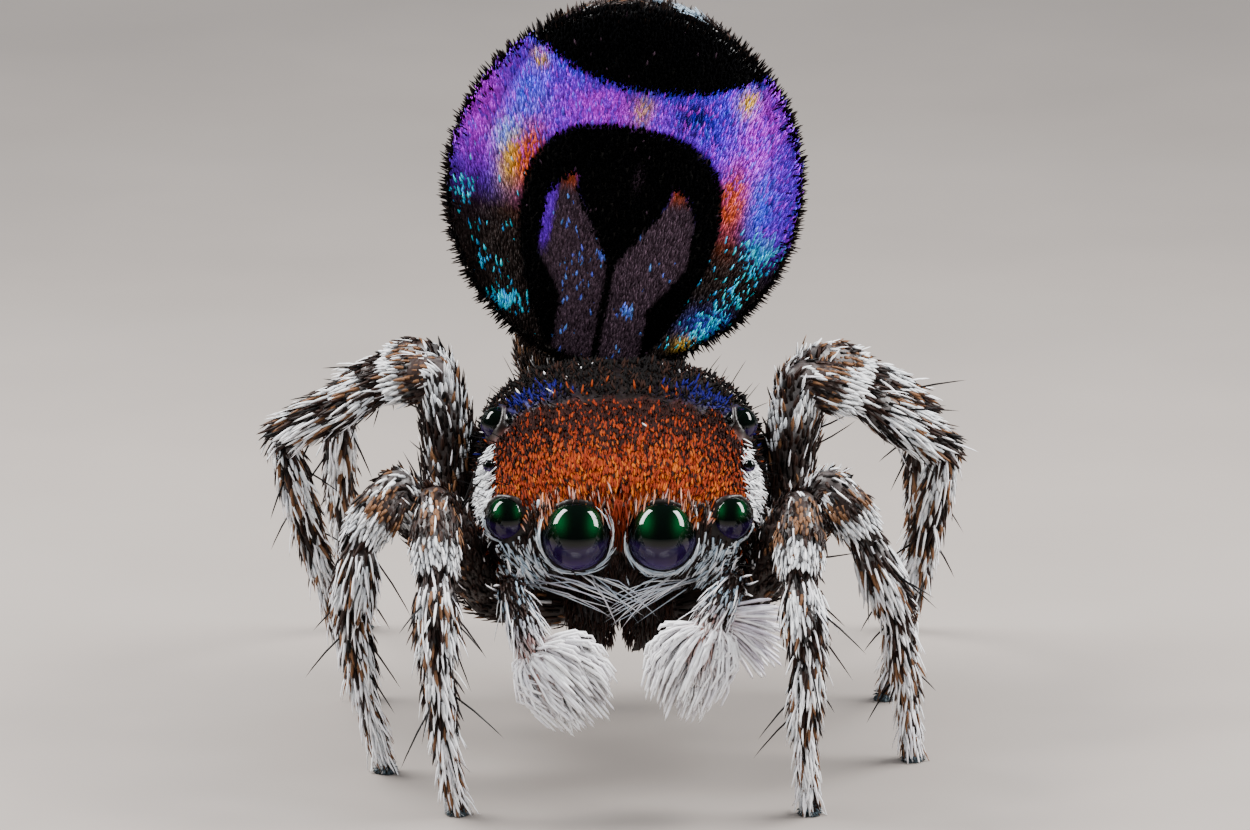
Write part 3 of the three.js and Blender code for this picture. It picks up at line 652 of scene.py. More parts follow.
COLOUR_CHOICES = {
    "cuticle": ("Cuticle", "Bare dark brown body wall", "#150c08"),
    "mask": ("Mask", "Orange scales between the eyes", "#6c1e00"),
    "mask_light": ("Mask lashes", "Lighter tips above the front eyes", "#b86008"),
    "dark": ("Dark scales", "Brown black scales of the dome", "#060303"),
    "brown": ("Brown scales", "Rusty brown scales of the legs", "#32180b"),
    "tan": ("Tan scales", "Golden tan scales of the legs", "#6e4a2e"),
    "white": ("White scales", "White scales and bristles", "#fdfbfa"),
    "bluish": ("Bluish scales", "Bluish white scales of the face", "#9db2c2"),
    "lilac": ("Beard", "Pale lilac bristles below the eyes", "#d4ccda"),
    "blush": ("Bristle roots", "Pink brown roots of the palp bristles", "#94543c"),
    "night_blue": ("Night blue", "Dark blue patches behind the mask", "#0b0558"),
    "velvet": ("Velvet black", "Black scales of the fan", "#020203"),
    "ash": ("Ash", "Grey brown scales of the lower fan", "#1c1412"),
    "lobe": ("Lobes", "Mauve grey scales of the two lobes", "#40303a"),
    "violet": ("Violet", "Main colour of the fan's band", "#7000d8"),
    "indigo": ("Indigo", "Deeper blue violet of the band", "#2a06c8"),
    "magenta": ("Magenta", "Pink violet of the band", "#b400d8"),
    "sky": ("Sky blue", "Light blue patches of the band", "#3050d8"),
    "cyan": ("Cyan", "Sparkles at the foot of the band", "#00d8e0"),
    "gold": ("Gold", "Gold patches of the band", "#b89020"),
    "ember": ("Ember", "Orange patches of the band", "#b04404"),
    "tuft": ("Claw tuft", "Grey green tufts under the claws", "#1c2726"),
    # Lens colours: the violet below the level line and its lighter lower edge are a painted reflection
    # of the ground
    "lens_top": ("Lens above", "Green black of an eye above its level line", "#020604"),
    "lens_glow": ("Lens glow", "Green glow beside an eye's two reflections", "#0a7a3c"),
    "lens_low": ("Lens below", "Dark violet of an eye below its level line", "#1e0e32"),
    "lens_foot": ("Lens foot", "Lighter violet at an eye's lower edge", "#432062"),
    "plaster": ("Floor", "Pale floor of the stage", "#8c837c"),
}
SpiderColours.__annotations__ = {key: colour_property(*row) for key, row in COLOUR_CHOICES.items()}


class SpiderSizes(PropertyGroup):
    """Sizes of the scales and hairs, in metres, and how many there are of the main kinds."""


def length_property(label, text, size_mm):
    return FloatProperty(name=label, description=text, unit="LENGTH", subtype="DISTANCE",
                         min=0, precision=6, default=size_mm * MM)


SIZE_CHOICES = {
    "voxel": ("Skin grain", "Edge of the cells that melt the skin into one", 0.015),
    "mask_length": ("Mask scale", "Length of an orange scale", 0.062),
    "mask_width": ("Mask scale width", "Width of an orange scale", 0.0125),
    "lash_length": ("Lash", "Length of the lashes above the front eyes", 0.085),
    "beard_width": ("Beard bristle width", "Width of a bristle below the eyes", 0.0068),
    "fan_scale_length": ("Fan scale", "Length of an iridescent scale", 0.042),
    "fan_scale_width": ("Fan scale width", "Width of an iridescent scale", 0.016),
    "fringe_length": ("Fringe", "Length of the bristles round the fan", 0.05),
    "leg_scale_length": ("Leg scale", "Length of a flat leg scale", 0.092),
    "leg_scale_width": ("Leg scale width", "Width of a flat leg scale", 0.0175),
    "brush_width": ("Palp bristle width", "Width of a bristle of the palps' brushes", 0.0145),
}
COUNT_CHOICES = {
    "mask_count": ("Mask scales", "Number of orange scales", 9500),
    "dome_count": ("Dome scales", "Number of scales on the rest of the carapace", 8000),
    "fan_count": ("Fan scales", "Number of iridescent scales", 12000),
    "velvet_count": ("Velvet scales", "Number of black scales of the fan", 9000),
    "belly_count": ("Abdomen hairs", "Number of hairs on the abdomen's hidden sides", 15000),
    "leg_count": ("Leg scales", "Scales to a millimetre of leg, where densest", 1800),
    "brush_count": ("Palp bristles", "Number of bristles in each palp's brush", 330),
}
SpiderSizes.__annotations__ = {
    **{key: length_property(*row) for key, row in SIZE_CHOICES.items()},
    **{key: IntProperty(name=row[0], description=row[1], min=1, default=row[2])
       for key, row in COUNT_CHOICES.items()},
}


def sizes():
    return bpy.context.scene.spider_sizes


def mm(name):
    return getattr(sizes(), name) / MM


def tone(name):
    return np.array(getattr(bpy.context.scene.spider_colours, name)[:])


def blend(first, second, share):
    """Mixes two named colours by a share for each point."""
    return mixed(tone(first), tone(second), share)


# Each patch of the fan's band: place across and along, half sizes, colour and strength
FAN_PATCHES = (
    (-0.84, 0.26, 0.14, 0.24, "magenta", 0.95), (-0.60, 0.40, 0.11, 0.12, "sky", 0.8),
    (-0.68, 0.17, 0.08, 0.09, "cyan", 0.4), (-0.40, 0.50, 0.14, 0.09, "indigo", 0.6),
    (-0.17, 0.42, 0.24, 0.11, "magenta", 0.85), (0.02, 0.45, 0.055, 0.1, "gold", 0.75),
    (0.47, 0.44, 0.12, 0.14, "indigo", 0.75), (0.31, 0.43, 0.1, 0.09, "night_blue", 0.95),
    (0.70, 0.38, 0.11, 0.24, "magenta", 0.9), (0.86, 0.14, 0.06, 0.26, "violet", 0.9),
    (0.75, 0.02, 0.07, 0.16, "sky", 0.85), (-0.58, 0.62, 0.05, 0.06, "gold", 0.9),
    (0.585, 0.58, 0.055, 0.10, "gold", 0.95), (-0.63, 0.04, 0.075, 0.13, "gold", 0.95),
    (-0.54, 0.08, 0.085, 0.18, "ember", 0.95), (0.59, 0.02, 0.085, 0.18, "ember", 0.95),
    (0.60, -0.72, 0.13, 0.09, "sky", 0.4), (0.50, -0.83, 0.07, 0.06, "gold", 0.8),
)
# Clusters of sparkling scales in the dark part of the band: place, half sizes and share lit
FAN_SPARKLES = (
    (-0.87, -0.17, 0.05, 0.07, 0.7), (-0.76, -0.33, 0.07, 0.08, 0.15), (-0.69, -0.54, 0.07, 0.05, 0.35),
    (-0.54, -0.73, 0.09, 0.045, 1.2), (0.81, -0.23, 0.1, 0.065, 1.3), (0.77, -0.37, 0.06, 0.06, 0.45),
    (0.70, -0.50, 0.07, 0.07, 0.45), (0.62, -0.64, 0.09, 0.08, 0.5), (0.56, -0.78, 0.11, 0.07, 0.6),
    (0.12, -0.67, 0.04, 0.035, 1.2), (-0.06, -0.39, 0.03, 0.03, 0.6), (-0.22, -0.82, 0.08, 0.03, 0.35),
    (-0.17, -0.5, 0.09, 0.16, 0.12),
)
STRAY_SPARKLES = 0.012
CAP_EDGE = (0.545, 0.38)  # height of the black cap's lower edge in the middle, and its rise
ARCH_TOP = 0.465
ARCH_MIDDLE = -0.12
ARCH_HALF = 0.55
ARCH_POWER = 2.6
EDGE_BLUR = 0.016


def above_cap_edge(p, q):
    """Height above the parabola that bounds the fan's black cap."""
    return q - CAP_EDGE[0] - CAP_EDGE[1] * (p - 0.03) ** 2


def fan_zones(p, q):
    """Shares of velvet black and of lobe at (p, q), shares of the fan's half width and length.

    The cap lies above a parabola; the arch is half a superellipse that narrows downwards as a
    power; the lobes lie inside it between two smooth steps; the rim is black too."""
    cap = smoothstep(-EDGE_BLUR, EDGE_BLUR, above_cap_edge(p, q))
    rise = np.clip((q - ARCH_MIDDLE) / ARCH_TOP, 0, 1)
    drop = np.clip((ARCH_MIDDLE - q) / 0.7, 0, None)
    arch_half = ARCH_HALF * (1 - rise ** ARCH_POWER) ** (1 / ARCH_POWER) - 0.22 * drop ** 1.8
    arch = smoothstep(EDGE_BLUR, -EDGE_BLUR, np.abs(p) - arch_half) * (q < ARCH_MIDDLE + ARCH_TOP)
    outer = 0.42 - 0.1 * smoothstep(-0.12, 0.05, q) - 0.17 * smoothstep(-0.35, -0.68, q)
    inner = 0.015 + 0.25 * smoothstep(-0.48, 0.04, q)
    lobe = (smoothstep(EDGE_BLUR, -EDGE_BLUR, np.abs(p) - outer)
            * smoothstep(-EDGE_BLUR, EDGE_BLUR, np.abs(p) - inner) * smoothstep(0.06, 0.02, q))
    rim = smoothstep(0.95, 0.985, np.hypot(p, q))
    return np.clip(np.maximum(np.maximum(cap, rim), arch - lobe), 0, 1), lobe


def patch_share(p, q, middle_p, middle_q, half_p, half_q):
    """A soft oval patch: a bell over each direction."""
    return np.exp(-((p - middle_p) / half_p) ** 2 - ((q - middle_q) / half_q) ** 2)


def fan_marking(p, q, rng=None):
    """Colours of the displayed back: the band fades downwards from violet to ash, with soft
    patches over it, and the lobes and velvet black cover it. With random draws, each scale
    differs a little from its neighbours, and some in the dark part sparkle."""
    right_edge = 0.26 * smoothstep(0.66, 0.8, p)
    band = blend("ash", "violet", smoothstep(-0.1, 0.16, q + right_edge))
    band = mixed(band, tone("indigo"), 0.5 * smoothstep(0.1, -0.05, q) * smoothstep(-0.25, 0.0, q))
    for *oval, colour, strength in FAN_PATCHES:
        band = mixed(band, tone(colour), strength * np.clip(patch_share(p, q, *oval) * 1.4, 0, 1))
    band = mixed(band, tone("indigo"), 0.75 * smoothstep(-0.08, -0.02, above_cap_edge(p, q)))
    velvet, lobe = fan_zones(p, q)
    lobe_colour = blend("lobe", "violet",
                        smoothstep(-0.345, -0.385, p) * smoothstep(-0.45, -0.3, q) * 0.9)
    lobe_colour = mixed(lobe_colour, tone("ember"),
                        0.75 * smoothstep(-0.08, 0.03, q) * smoothstep(0.42, 0.3, np.abs(p)))
    colour = mixed(band, lobe_colour, lobe)
    if rng is not None:
        shift = rng.random(len(p))
        lit = smoothstep(-0.1, 0.2, q + right_edge) * (1 - lobe)
        colour = mixed(colour, tone("indigo"), 0.55 * (shift < 0.16) * lit)
        colour = mixed(colour, tone("magenta"), 0.5 * (shift > 0.86) * lit)
        colour = mixed(colour, tone("sky"), 0.6 * ((shift > 0.5) & (shift < 0.58)) * lit)
        spark = STRAY_SPARKLES * np.ones(len(p))
        for *oval, chance in FAN_SPARKLES:
            spark += chance * patch_share(p, q, *oval)
        sparkling = (rng.random(len(p)) < spark) * (1 - lit)
        hue = mixed(blend("cyan", "sky", rng.random(len(p)) * 0.7), tone("violet"), 0.6 * lobe)
        colour = mixed(colour, hue, 0.9 * sparkling)
        colour = colour * rng.lognormal(-0.04, 0.2, len(p))[:, None]
    return mixed(colour, tone("velvet"), velvet)


MASK_END = 0.55  # the mask reaches this far back on the roof


def mask_share(points):
    """1 on the orange mask: the roof forward of its ragged end, within the side stripes."""
    x, y, z = points.T
    ragged = 0.02 * np.sin(47 * x) + 0.012 * np.sin(101 * x + 2)
    corners = 0.12 * smoothstep(0.3, 0.46, np.abs(x))
    back = smoothstep(MASK_END + 0.05, MASK_END - 0.04, y + ragged - corners)
    return back * clear_of_eyes(points) * smoothstep(0.06, 0.13, z) * smoothstep(0.5, 0.47, np.abs(x))


def stripe_share(points):
    """1 on the white side stripes, on the flanks between the side eyes."""
    x, y, z = points.T
    along = smoothstep(0.1, 0.16, y) * smoothstep(0.56, 0.5, y)
    level = smoothstep(0.0, 0.05, z) * smoothstep(0.27, 0.22, z)
    return along * level * smoothstep(0.44, 0.46, np.abs(x))


def blue_share(points):
    """1 on the two dark blue patches behind the mask."""
    x, y, _ = points.T
    return np.clip(1.3 * patch_share(np.abs(x), y, 0.32, 0.67, 0.1, 0.045), 0, 1)


# Chances of a white and of a tan scale along each segment: segment, from, to, white, tan
LEG_BANDS = (
    ("coxa", 0, 1, 0.05, 0.1), ("femur", 0, 0.7, 0.1, 0.08), ("femur", 0.7, 1, 0.45, 0.1),
    ("kneecap", 0, 0.18, 0.3, 0.35), ("kneecap", 0.18, 0.58, 0.03, 0.38),
    ("kneecap", 0.58, 0.95, 0.97, 0.02), ("kneecap", 0.95, 1, 0.0, 0.0), ("shin", 0, 0.16, 0.03, 0.0),
    ("shin", 0.16, 0.5, 0.38, 0.16), ("shin", 0.5, 0.84, 0.46, 0.16), ("shin", 0.84, 1, 0.08, 0.1),
    ("foot", 0, 0.5, 0.42, 0.2), ("foot", 0.5, 0.7, 0.16, 0.3), ("foot", 0.7, 1, 0.45, 0.25),
    ("toe", 0, 1, 0.5, 0.3),
)
CAP_DIMMING = 0.2  # share of the white scales left on the dark thighs and kneecaps of the front legs


def band_chances(limb, s):
    white, tan = np.zeros(len(s)), np.zeros(len(s))
    for name, start, end, white_chance, tan_chance in LEG_BANDS:
        if name not in limb.names:
            continue
        i = limb.names.index(name)
        low, high = limb.ends[i], limb.ends[i + 1]
        inside = (s >= low + (high - low) * start) & (s <= low + (high - low) * end)
        dimmed = limb.dark_cap and white_chance < 0.5 and name in ("femur", "kneecap")
        white[inside] = white_chance * (CAP_DIMMING if dimmed else 1)
        tan[inside] = tan_chance
    return white, tan


def limb_marking(limb, s):
    """Skin colour along a limb: cuticle, paler where the scales over it are white or tan."""
    white, tan = band_chances(limb, s)
    return mixed(blend("cuticle", "brown", 0.25 + 0.6 * tan), tone("white"), 0.16 * white)


LIMB_REACH = 0.125  # skin within this of a limb's middle line takes its marking
LIMB_MARGIN = 0.12  # of the box round the limb that it is looked for in


def skin_marking(points):
    """Colours of the whole skin by place, the same as those of the coat that grows there."""
    colour = np.tile(tone("cuticle"), (len(points), 1))
    for limb in list(LEG_LIMBS.values()) + list(PALP_LIMBS.values()):
        coarse = limb.path[::3]
        low, high = coarse.min(0) - LIMB_MARGIN, coarse.max(0) + LIMB_MARGIN
        box = (points > low).all(1) & (points < high).all(1)
        near = np.flatnonzero(box)
        gap = np.linalg.norm(points[near, None] - coarse[None], axis=2)
        closest = gap.argmin(1)
        on_limb = gap.min(1) < LIMB_REACH
        colour[near[on_limb]] = limb_marking(limb, limb.s[::3][closest[on_limb]])
    head = (points[:, 1] < 1.3) & (points[:, 2] > -0.3) & (np.abs(points[:, 0]) < 0.54)
    body = points[head]
    tint = mixed(colour[head], tone("mask") * 0.6, mask_share(body))
    tint = mixed(tint, tone("white") * 0.7, stripe_share(body))
    colour[head] = mixed(tint, tone("night_blue"), blue_share(body))
    rear = points[:, 1] > 1.12
    local = upright(points[rear])
    p, q = local[:, 0] / (FAN_WIDTH / 2), (local[:, 2] - FAN_MIDDLE) / (FAN_LENGTH / 2)
    on_fan = (np.hypot(p, q) < 1.05) & (local[:, 1] < FAN_PLANE + 0.02)
    colour[np.flatnonzero(rear)[on_fan]] = fan_marking(p[on_fan], q[on_fan]) * 0.7
    return colour


# Skin

COLLAR_THICKNESS = 0.015
REMESH_SMOOTHING = (0.5, 4)  # strength and rounds


def eye_collar(at, radius, look):
    """A ring of cuticle round an eye: a circle swept round the lens, square to its look."""
    look = unit(np.array(look, dtype=float))
    across = unit(np.cross(look, [0.0, 0.0, 1.0]))
    up = np.cross(across, look)
    around = np.linspace(0, 2 * np.pi, 48, endpoint=False)
    thick = np.linspace(0, 2 * np.pi, 10, endpoint=False)
    spoke = across * np.cos(around)[:, None] + up * np.sin(around)[:, None]
    ring = (np.array(at) + look * radius * 0.12 + spoke * (radius + 0.001))[:, None]
    tube = COLLAR_THICKNESS * (spoke[:, None] * np.cos(thick)[None, :, None]
                               + look * np.sin(thick)[None, :, None])
    points = (ring + tube).reshape(-1, 3)
    rows, columns = len(around), len(thick)
    seam = grid_faces(2, columns)
    wrap = np.where(seam < columns, seam + (rows - 1) * columns, seam - columns)
    return points, np.concatenate([grid_faces(rows, columns), wrap])


def ellipsoid(centre, halves, rows=20, columns=28):
    """A stretched sphere as a closed mesh."""
    angle = np.linspace(0.04, np.pi - 0.04, rows)[:, None]
    turn = np.linspace(0, 2 * np.pi, columns, endpoint=False)[None]
    return closed_tube(stretched_sphere(centre, halves, angle, turn))


def fan_plate(inset=0.006):
    """The fan as a closed plate: polar rings out over the front, round the rim and back behind."""
    share = np.linspace(0.03, 0.975, 22)[:, None]
    turn = np.linspace(0, 2 * np.pi, 110, endpoint=False)[None]
    p, q = share * np.sin(turn), share * np.cos(turn)
    front = fan_front(p, q) + np.array([0, inset, 0])
    back = fan_back(p, q)[::-1] - np.array([0, inset, 0])
    return closed_tube(np.concatenate([front, back]))


def jaw(sign):
    """The bare upper part of one chelicera, hanging below the face."""
    return Limb([mirrored((0.102, 0.16, -0.2), sign), mirrored((0.096, 0.07, -0.42), sign)],
                {"jaw": (0.105, ((0, 0.95), (0.5, 1.0), (1, 0.62)))}, 0.92)


def fang(sign):
    """The claw that folds inwards below a jaw."""
    return Limb([mirrored((0.1, 0.1, -0.42), sign), mirrored((0.045, 0.12, -0.48), sign)],
                {"fang": (0.03, ((0, 1.0), (0.6, 0.7), (1, 0.3)))}, 0.9)


SPINNERETS = ((-0.04, 0.03), (0.04, 0.03), (-0.035, 0.1), (0.035, 0.1))  # across, behind the fan


def skin_shapes():
    """Every closed shape that is melted into the skin."""
    turn = np.linspace(0, 2 * np.pi, 72, endpoint=False)[None]
    y = np.linspace(0.004, CARAPACE_END - 0.004, 110)[:, None]
    shapes = [closed_tube(carapace(y, turn + 0 * y, inset=0.008)),
              ellipsoid(STERNUM_CENTRE, STERNUM_HALVES)]
    for at, radius, look in EYES.values():
        if radius > 0.03:
            shapes += [eye_collar(mirrored(at, sign), radius, mirrored(look, sign)) for _, sign in SIDES]
    for limb in list(LEG_LIMBS.values()) + list(PALP_LIMBS.values()):
        shapes.append(closed_tube(limb.rings(28)))
    for _, sign in SIDES:
        shapes += [closed_tube(jaw(sign).rings(28)), closed_tube(fang(sign).rings(16))]
    shapes.append(closed_tube(WAIST_LIMB.rings(20)))
    share = np.linspace(0, 1, 40)[:, None]
    hind = [closed_tube(abdomen(share, turn + 0 * share, inset=0.012)),
            ellipsoid(HAUNCH_CENTRE, HAUNCH_HALVES), fan_plate()]
    top = FAN_MIDDLE + FAN_LENGTH / 2
    for x, behind in SPINNERETS:
        y = FAN_PLANE + behind
        tube = Limb([(x, y, top - 0.14), (1.3 * x, y + 0.05, top + 0.04)],
                    {"tube": (0.042, ((0, 1.0), (0.6, 0.9), (1, 0.5)))}, 1)
        hind.append(closed_tube(tube.rings(16)))
    return shapes + [(leaning(points), faces) for points, faces in hind]


def melted(points, faces, cell):
    """One closed surface round all the shapes: a voxel remesh at a cell size, then smoothing."""
    piece = new_object("melt", points, faces)
    remesh = piece.modifiers.new("Remesh", "REMESH")
    remesh.mode = "VOXEL"
    remesh.voxel_size = cell
    smooth = piece.modifiers.new("Smooth", "SMOOTH")
    smooth.factor, smooth.iterations = REMESH_SMOOTHING
    made = piece.evaluated_get(bpy.context.evaluated_depsgraph_get()).to_mesh()
    made.calc_loop_triangles()
    melted_points = np.empty(len(made.vertices) * 3, dtype=np.float32)
    made.vertices.foreach_get("co", melted_points)
    corners = np.empty(len(made.loop_triangles) * 3, dtype=np.int32)
    made.loop_triangles.foreach_get("vertices", corners)
    mesh = piece.data
    bpy.data.objects.remove(piece)
    bpy.data.meshes.remove(mesh)
    return melted_points.reshape(-1, 3).astype(float), corners.reshape(-1, 3)


FLESH = ["carapace", "sternum", "pedicel", "abdomen", "fan_flap_right", "fan_flap_left", "spinnerets",
         "chelicera_right", "chelicera_left"]
FLESH += [f"{leg}_{part}" for leg in LEGS for part in ("coxa", "femur", "shin", "foot")]
FLESH += [f"{palp}_{part}" for palp in PALPS for part in ("thigh", "arm", "hand")]


class SPIDER_OT_skin(Operator):
    """Melts the body, legs and palps into one skin and paints the markings on it"""
    bl_idname = "spider.skin"
    bl_label = "Skin"

    def execute(self, context):
        # Tanned spider cuticle, grown as one smooth hard wall: dark brown with a soft shine
        cuticle = marked_material("hardened_cuticle", {"Roughness": 0.42, "Specular IOR Level": 0.45},
                                  (4e-5, 0.35), (1.6e-5, 2e-6))
        points, faces = melted(*merged(skin_shapes()), mm("voxel"))
        skin = new_object("skin", placed(points), faces, skin_marking(points))
        finish_piece(skin, cuticle, FLESH)
        return {"FINISHED"}


# Eyes

# Painted light: two soft green glows painted into the lens colour round the panels' window reflections
PAINTED_GLOWS = ((-0.46, 0.56), (0.5, 0.52))  # middles of the two green glows, in radii from the lens's middle
PAINTED_GLOW_HALVES = (0.17, 0.26)
FRONT_PAINTED_GLOW = 0.22  # strength of the glows in the four front eyes


def lens_colours(points, at, radius, painted_glow):
    """Green black above, with two soft painted green glows beside the window reflections, and a painted
    violet reflection of the ground below a wavy level line.
    """
    x, _, z = ((points - at) / radius).T
    # Below the wavy level line the colour is a painted violet reflection of the ground, lighter towards
    # the lower edge
    level = smoothstep(0.06, -0.14, z + 0.08 * np.cos(2.2 * x))
    colour = blend("lens_top", "lens_low", level)
    colour = mixed(colour, tone("lens_foot"), 0.7 * smoothstep(-0.4, -0.8, z))
    for middle in PAINTED_GLOWS:
        colour = mixed(colour, tone("lens_glow"), painted_glow * patch_share(x, z, *middle, *PAINTED_GLOW_HALVES))
    return colour


class SPIDER_OT_eyes(Operator):
    """Sets a smooth glossy lens in place of each of the eight eyes"""
    bl_idname = "spider.eyes"
    bl_label = "Eyes"

    def execute(self, context):
        # Corneal cuticle, clear and moulded smooth: wet black gloss with a green cast
        cornea = marked_material("corneal_cuticle", {
            "Roughness": 0.3, "Specular IOR Level": 0.0, "Coat Weight": 1.0, "Coat Roughness": 0.03,
            "Coat IOR": 1.42, "Coat Tint": (0.85, 1.0, 0.92, 1.0),
        }, (2e-4, 0.05))
        for kind, (at, radius, _) in EYES.items():
            for side, sign in SIDES:
                centre = mirrored(at, sign)
                points, faces = ellipsoid(centre, (radius,) * 3, rows=40, columns=56)
                # Only the four front eyes get the painted green glow
                painted_glow = FRONT_PAINTED_GLOW if kind.startswith("front") else 0.0
                lens = new_object(f"lens_{kind}_{side}", placed(points), outward(points, faces),
                                  lens_colours(points, centre, radius, painted_glow))
                finish_piece(lens, cornea, (f"eye_{kind}_{side}",))
        return {"FINISHED"}


# Carapace and face

FRONT_EYES = ("front_middle", "front_side")
HEAD_MIDDLE = np.array([0, 0.6, 0.0])
BODY_HAIR_WIDTH = 0.011
UNWRAP_TURN = 7  # a little over a full turn, so that places round a shape stay within the unwrap
# Hairs round the lower edge of each front eye: from turn, to turn and number
RIMS = {"front_middle": (-3.5, 0.1, 62), "front_side": (-2.9, -0.2, 30)}


def combed(rng, way, normal, lift, unevenness):
    """Directions that run a way along a surface, lifted off it by a share of its normal."""
    return unit(way + normal * lift + jitter(rng, len(way), unevenness))


def on_carapace(y_range, turn_range, count, seed, keep):
    """Places on the carapace with their frame: point, normal, forward direction and unwrap place."""
    y, turn = scatter(carapace, y_range, turn_range, count, seed,
                      lambda p: off_eyes(p, 0.01) & keep(p))
    point, normal, along_y, _ = surface_frame(carapace, y, turn)
    normal = normal * np.sign(np.einsum("ij,ij->i", normal, point - HEAD_MIDDLE))[:, None]
    place = columns(y / CARAPACE_END, (turn / (2 * np.pi)) % 1)
    return point, normal, -along_y, place


def mask_scales(coat):
    """Orange scales that point forward, with more and more black ones among them to the rear."""
    rng = draws("mask")
    point, normal, forward, place = on_carapace(
        (0.004, 0.62), (0.12, np.pi - 0.12), sizes().mask_count, SPREADS["mask"],
        lambda p: rng.random(len(p)) < mask_share(p))
    count = len(point)
    y = point[:, 1]
    along = combed(rng, forward, normal, rng.uniform(0.12, 0.34, (count, 1)), 0.11)
    black = rng.random(count) < 0.15 + 0.68 * smoothstep(0.12, 0.54, y)
    warm = rng.random(count)
    colour = blend("mask", "mask_light", 0.55 * (warm > 0.8) * smoothstep(0.5, 0.1, y))
    colour = mixed(colour, tone("ember") * 0.55, 0.7 * (warm < 0.3))
    colour = mixed(colour, tone("dark"), black * 0.92)
    size = mm("mask_length") * rng.uniform(0.75, 1.25, count)
    # Painted shade and light along each scale: darker at the root, under its neighbours, and lighter at
    # the tip
    coat.lay(point, along, normal, size, mm("mask_width"), place, colour * 0.75, colour * 1.1,
             settle=0.22)


def dome_scales(coat):
    """Black scales on the rest of the carapace: forward on the head, to the rear behind the eyes."""
    rng = draws("dome")
    point, normal, forward, place = on_carapace(
        (0.02, CARAPACE_END - 0.02), (-0.55, np.pi + 0.55), sizes().dome_count, SPREADS["dome"],
        lambda p: rng.random(len(p)) < clear_of_eyes(p) - 0.9 * mask_share(p) - 0.6 * stripe_share(p))
    count = len(point)
    behind = smoothstep(0.55, 0.6, point[:, 1])[:, None]
    along = combed(rng, forward * (1 - 2 * behind) * 0.8 + np.array([0, 0, -0.25]), normal,
                   rng.uniform(0.3, 0.7, (count, 1)), 0.2)
    colour = blend("dark", "brown", 0.5 * (rng.random(count) < 0.3))
    rusty = 0.08 * smoothstep(0.75, 0.55, point[:, 1])
    colour = mixed(colour, tone("ember"), 0.4 * (rng.random(count) < rusty))
    low = smoothstep(0.1, -0.12, point[:, 2])
    colour = mixed(colour, tone("white"), 0.6 * (rng.random(count) < 0.008 + 0.07 * low))
    colour = mixed(colour, tone("night_blue"), 0.95 * (rng.random(count) < 0.8 * blue_share(point)))
    size = 0.055 * rng.uniform(0.7, 1.3, count)
    coat.lay(point, along, normal, size, 0.010, place, colour, settle=0.2, flat=0.6)


def body_colours(rng, count, side):
    """Brown black hairs with tan and a few white ones, of which more where side is near 1."""
    draw = rng.random(count)
    colour = blend("dark", "brown", 0.8 * rng.random(count))
    colour = mixed(colour, tone("tan"), 0.6 * (draw < 0.1 + 0.2 * side))
    return mixed(colour, tone("white"), 0.4 * (draw > 0.97 - 0.16 * side))


def round_hairs(centre, halves, count, seed, way):
    """Hairs over a stretched sphere, combed one way: their roots, directions, normals, places."""
    angle, turn = scatter(lambda u, v: stretched_sphere(centre, halves, u, v), (0.06, 3.08),
                          (0, 2 * np.pi), count, seed)
    point = stretched_sphere(centre, halves, angle, turn)
    normal = unit((point - np.array(centre)) / np.array(halves) ** 2)
    laid_down = np.array(way) - normal * (normal @ np.array(way))[:, None]
    along = combed(np.random.default_rng(seed), laid_down, normal, 0.35, 0.16)
    return point, along, normal, columns(angle / np.pi, turn / UNWRAP_TURN)


def tube_hairs(limb, count, seed, rng, lift, unevenness):
    """Hairs over a whole limb, pointing to its tip: their roots, directions and normals."""
    pairs = even_pairs(count, seed)
    point, normal, tangent = limb.frame(pairs[:, 0] * limb.length, pairs[:, 1] * 2 * np.pi)
    return point, combed(rng, tangent, normal, lift, unevenness), normal


def underside_hairs(coat):
    """Dark hairs below the carapace and over the sternum, combed towards the rear."""
    rng = draws("underside")
    point, along, normal, place = round_hairs(STERNUM_CENTRE, STERNUM_HALVES, 1500,
                                              SPREADS["sternum"], (0, 1.0, 0))
    coat.lay(point, along, normal, 0.06, BODY_HAIR_WIDTH, place, body_colours(rng, len(point), 0.2))
    point, normal, forward, place = on_carapace(
        (0.05, CARAPACE_END - 0.01), (np.pi + 0.5, 2 * np.pi - 0.5), 2200, SPREADS["underside"],
        lambda p: p[:, 2] < 0)
    along = combed(rng, -forward, normal, 0.4, 0.18)
    coat.lay(point, along, normal, 0.055, BODY_HAIR_WIDTH, place, body_colours(rng, len(point), 0.2))


def rear_hairs(coat):
    """Dark hairs on the carapace's flat rear end and round the waist."""
    rng = draws("rear")
    count = 420
    turn = rng.uniform(0, 2 * np.pi, count)
    middle = carapace(CARAPACE_END, np.array([0.0, np.pi])).mean(0)
    rim = carapace(CARAPACE_END - 0.008, turn) - middle
    point = middle + rim * np.sqrt(rng.random(count))[:, None]
    normal = np.array([0.0, 1.0, 0.0])
    along = combed(rng, unit(rim), normal, 0.5, 0.25)
    coat.lay(point, along, normal, 0.06, BODY_HAIR_WIDTH, face_place(point),
             body_colours(rng, count, 0.4))
    point, along, normal = tube_hairs(WAIST_LIMB, 260, SPREADS["waist"], rng, 0.4, 0.18)
    coat.lay(point, along, normal, 0.05, 0.010, face_place(point), body_colours(rng, len(point), 0.2))


def long_setae(coat):
    """Fine long black hairs that stand up round the head's top and sides."""
    rng = draws("setae")
    point, normal, forward, place = on_carapace(
        (0.1, 0.9), (0.05, np.pi - 0.05), 90, SPREADS["setae"], lambda p: np.abs(p[:, 0]) > 0.2)
    count = len(point)
    along = unit(normal + forward * rng.uniform(-0.3, 0.6, (count, 1)) + jitter(rng, count, 0.2))
    coat.add(strands(point, along, normal, rng.uniform(0.08, 0.17, count), 0.0045, ROUND_HAIR,
                     forward * 0.25), place, tone("dark"))


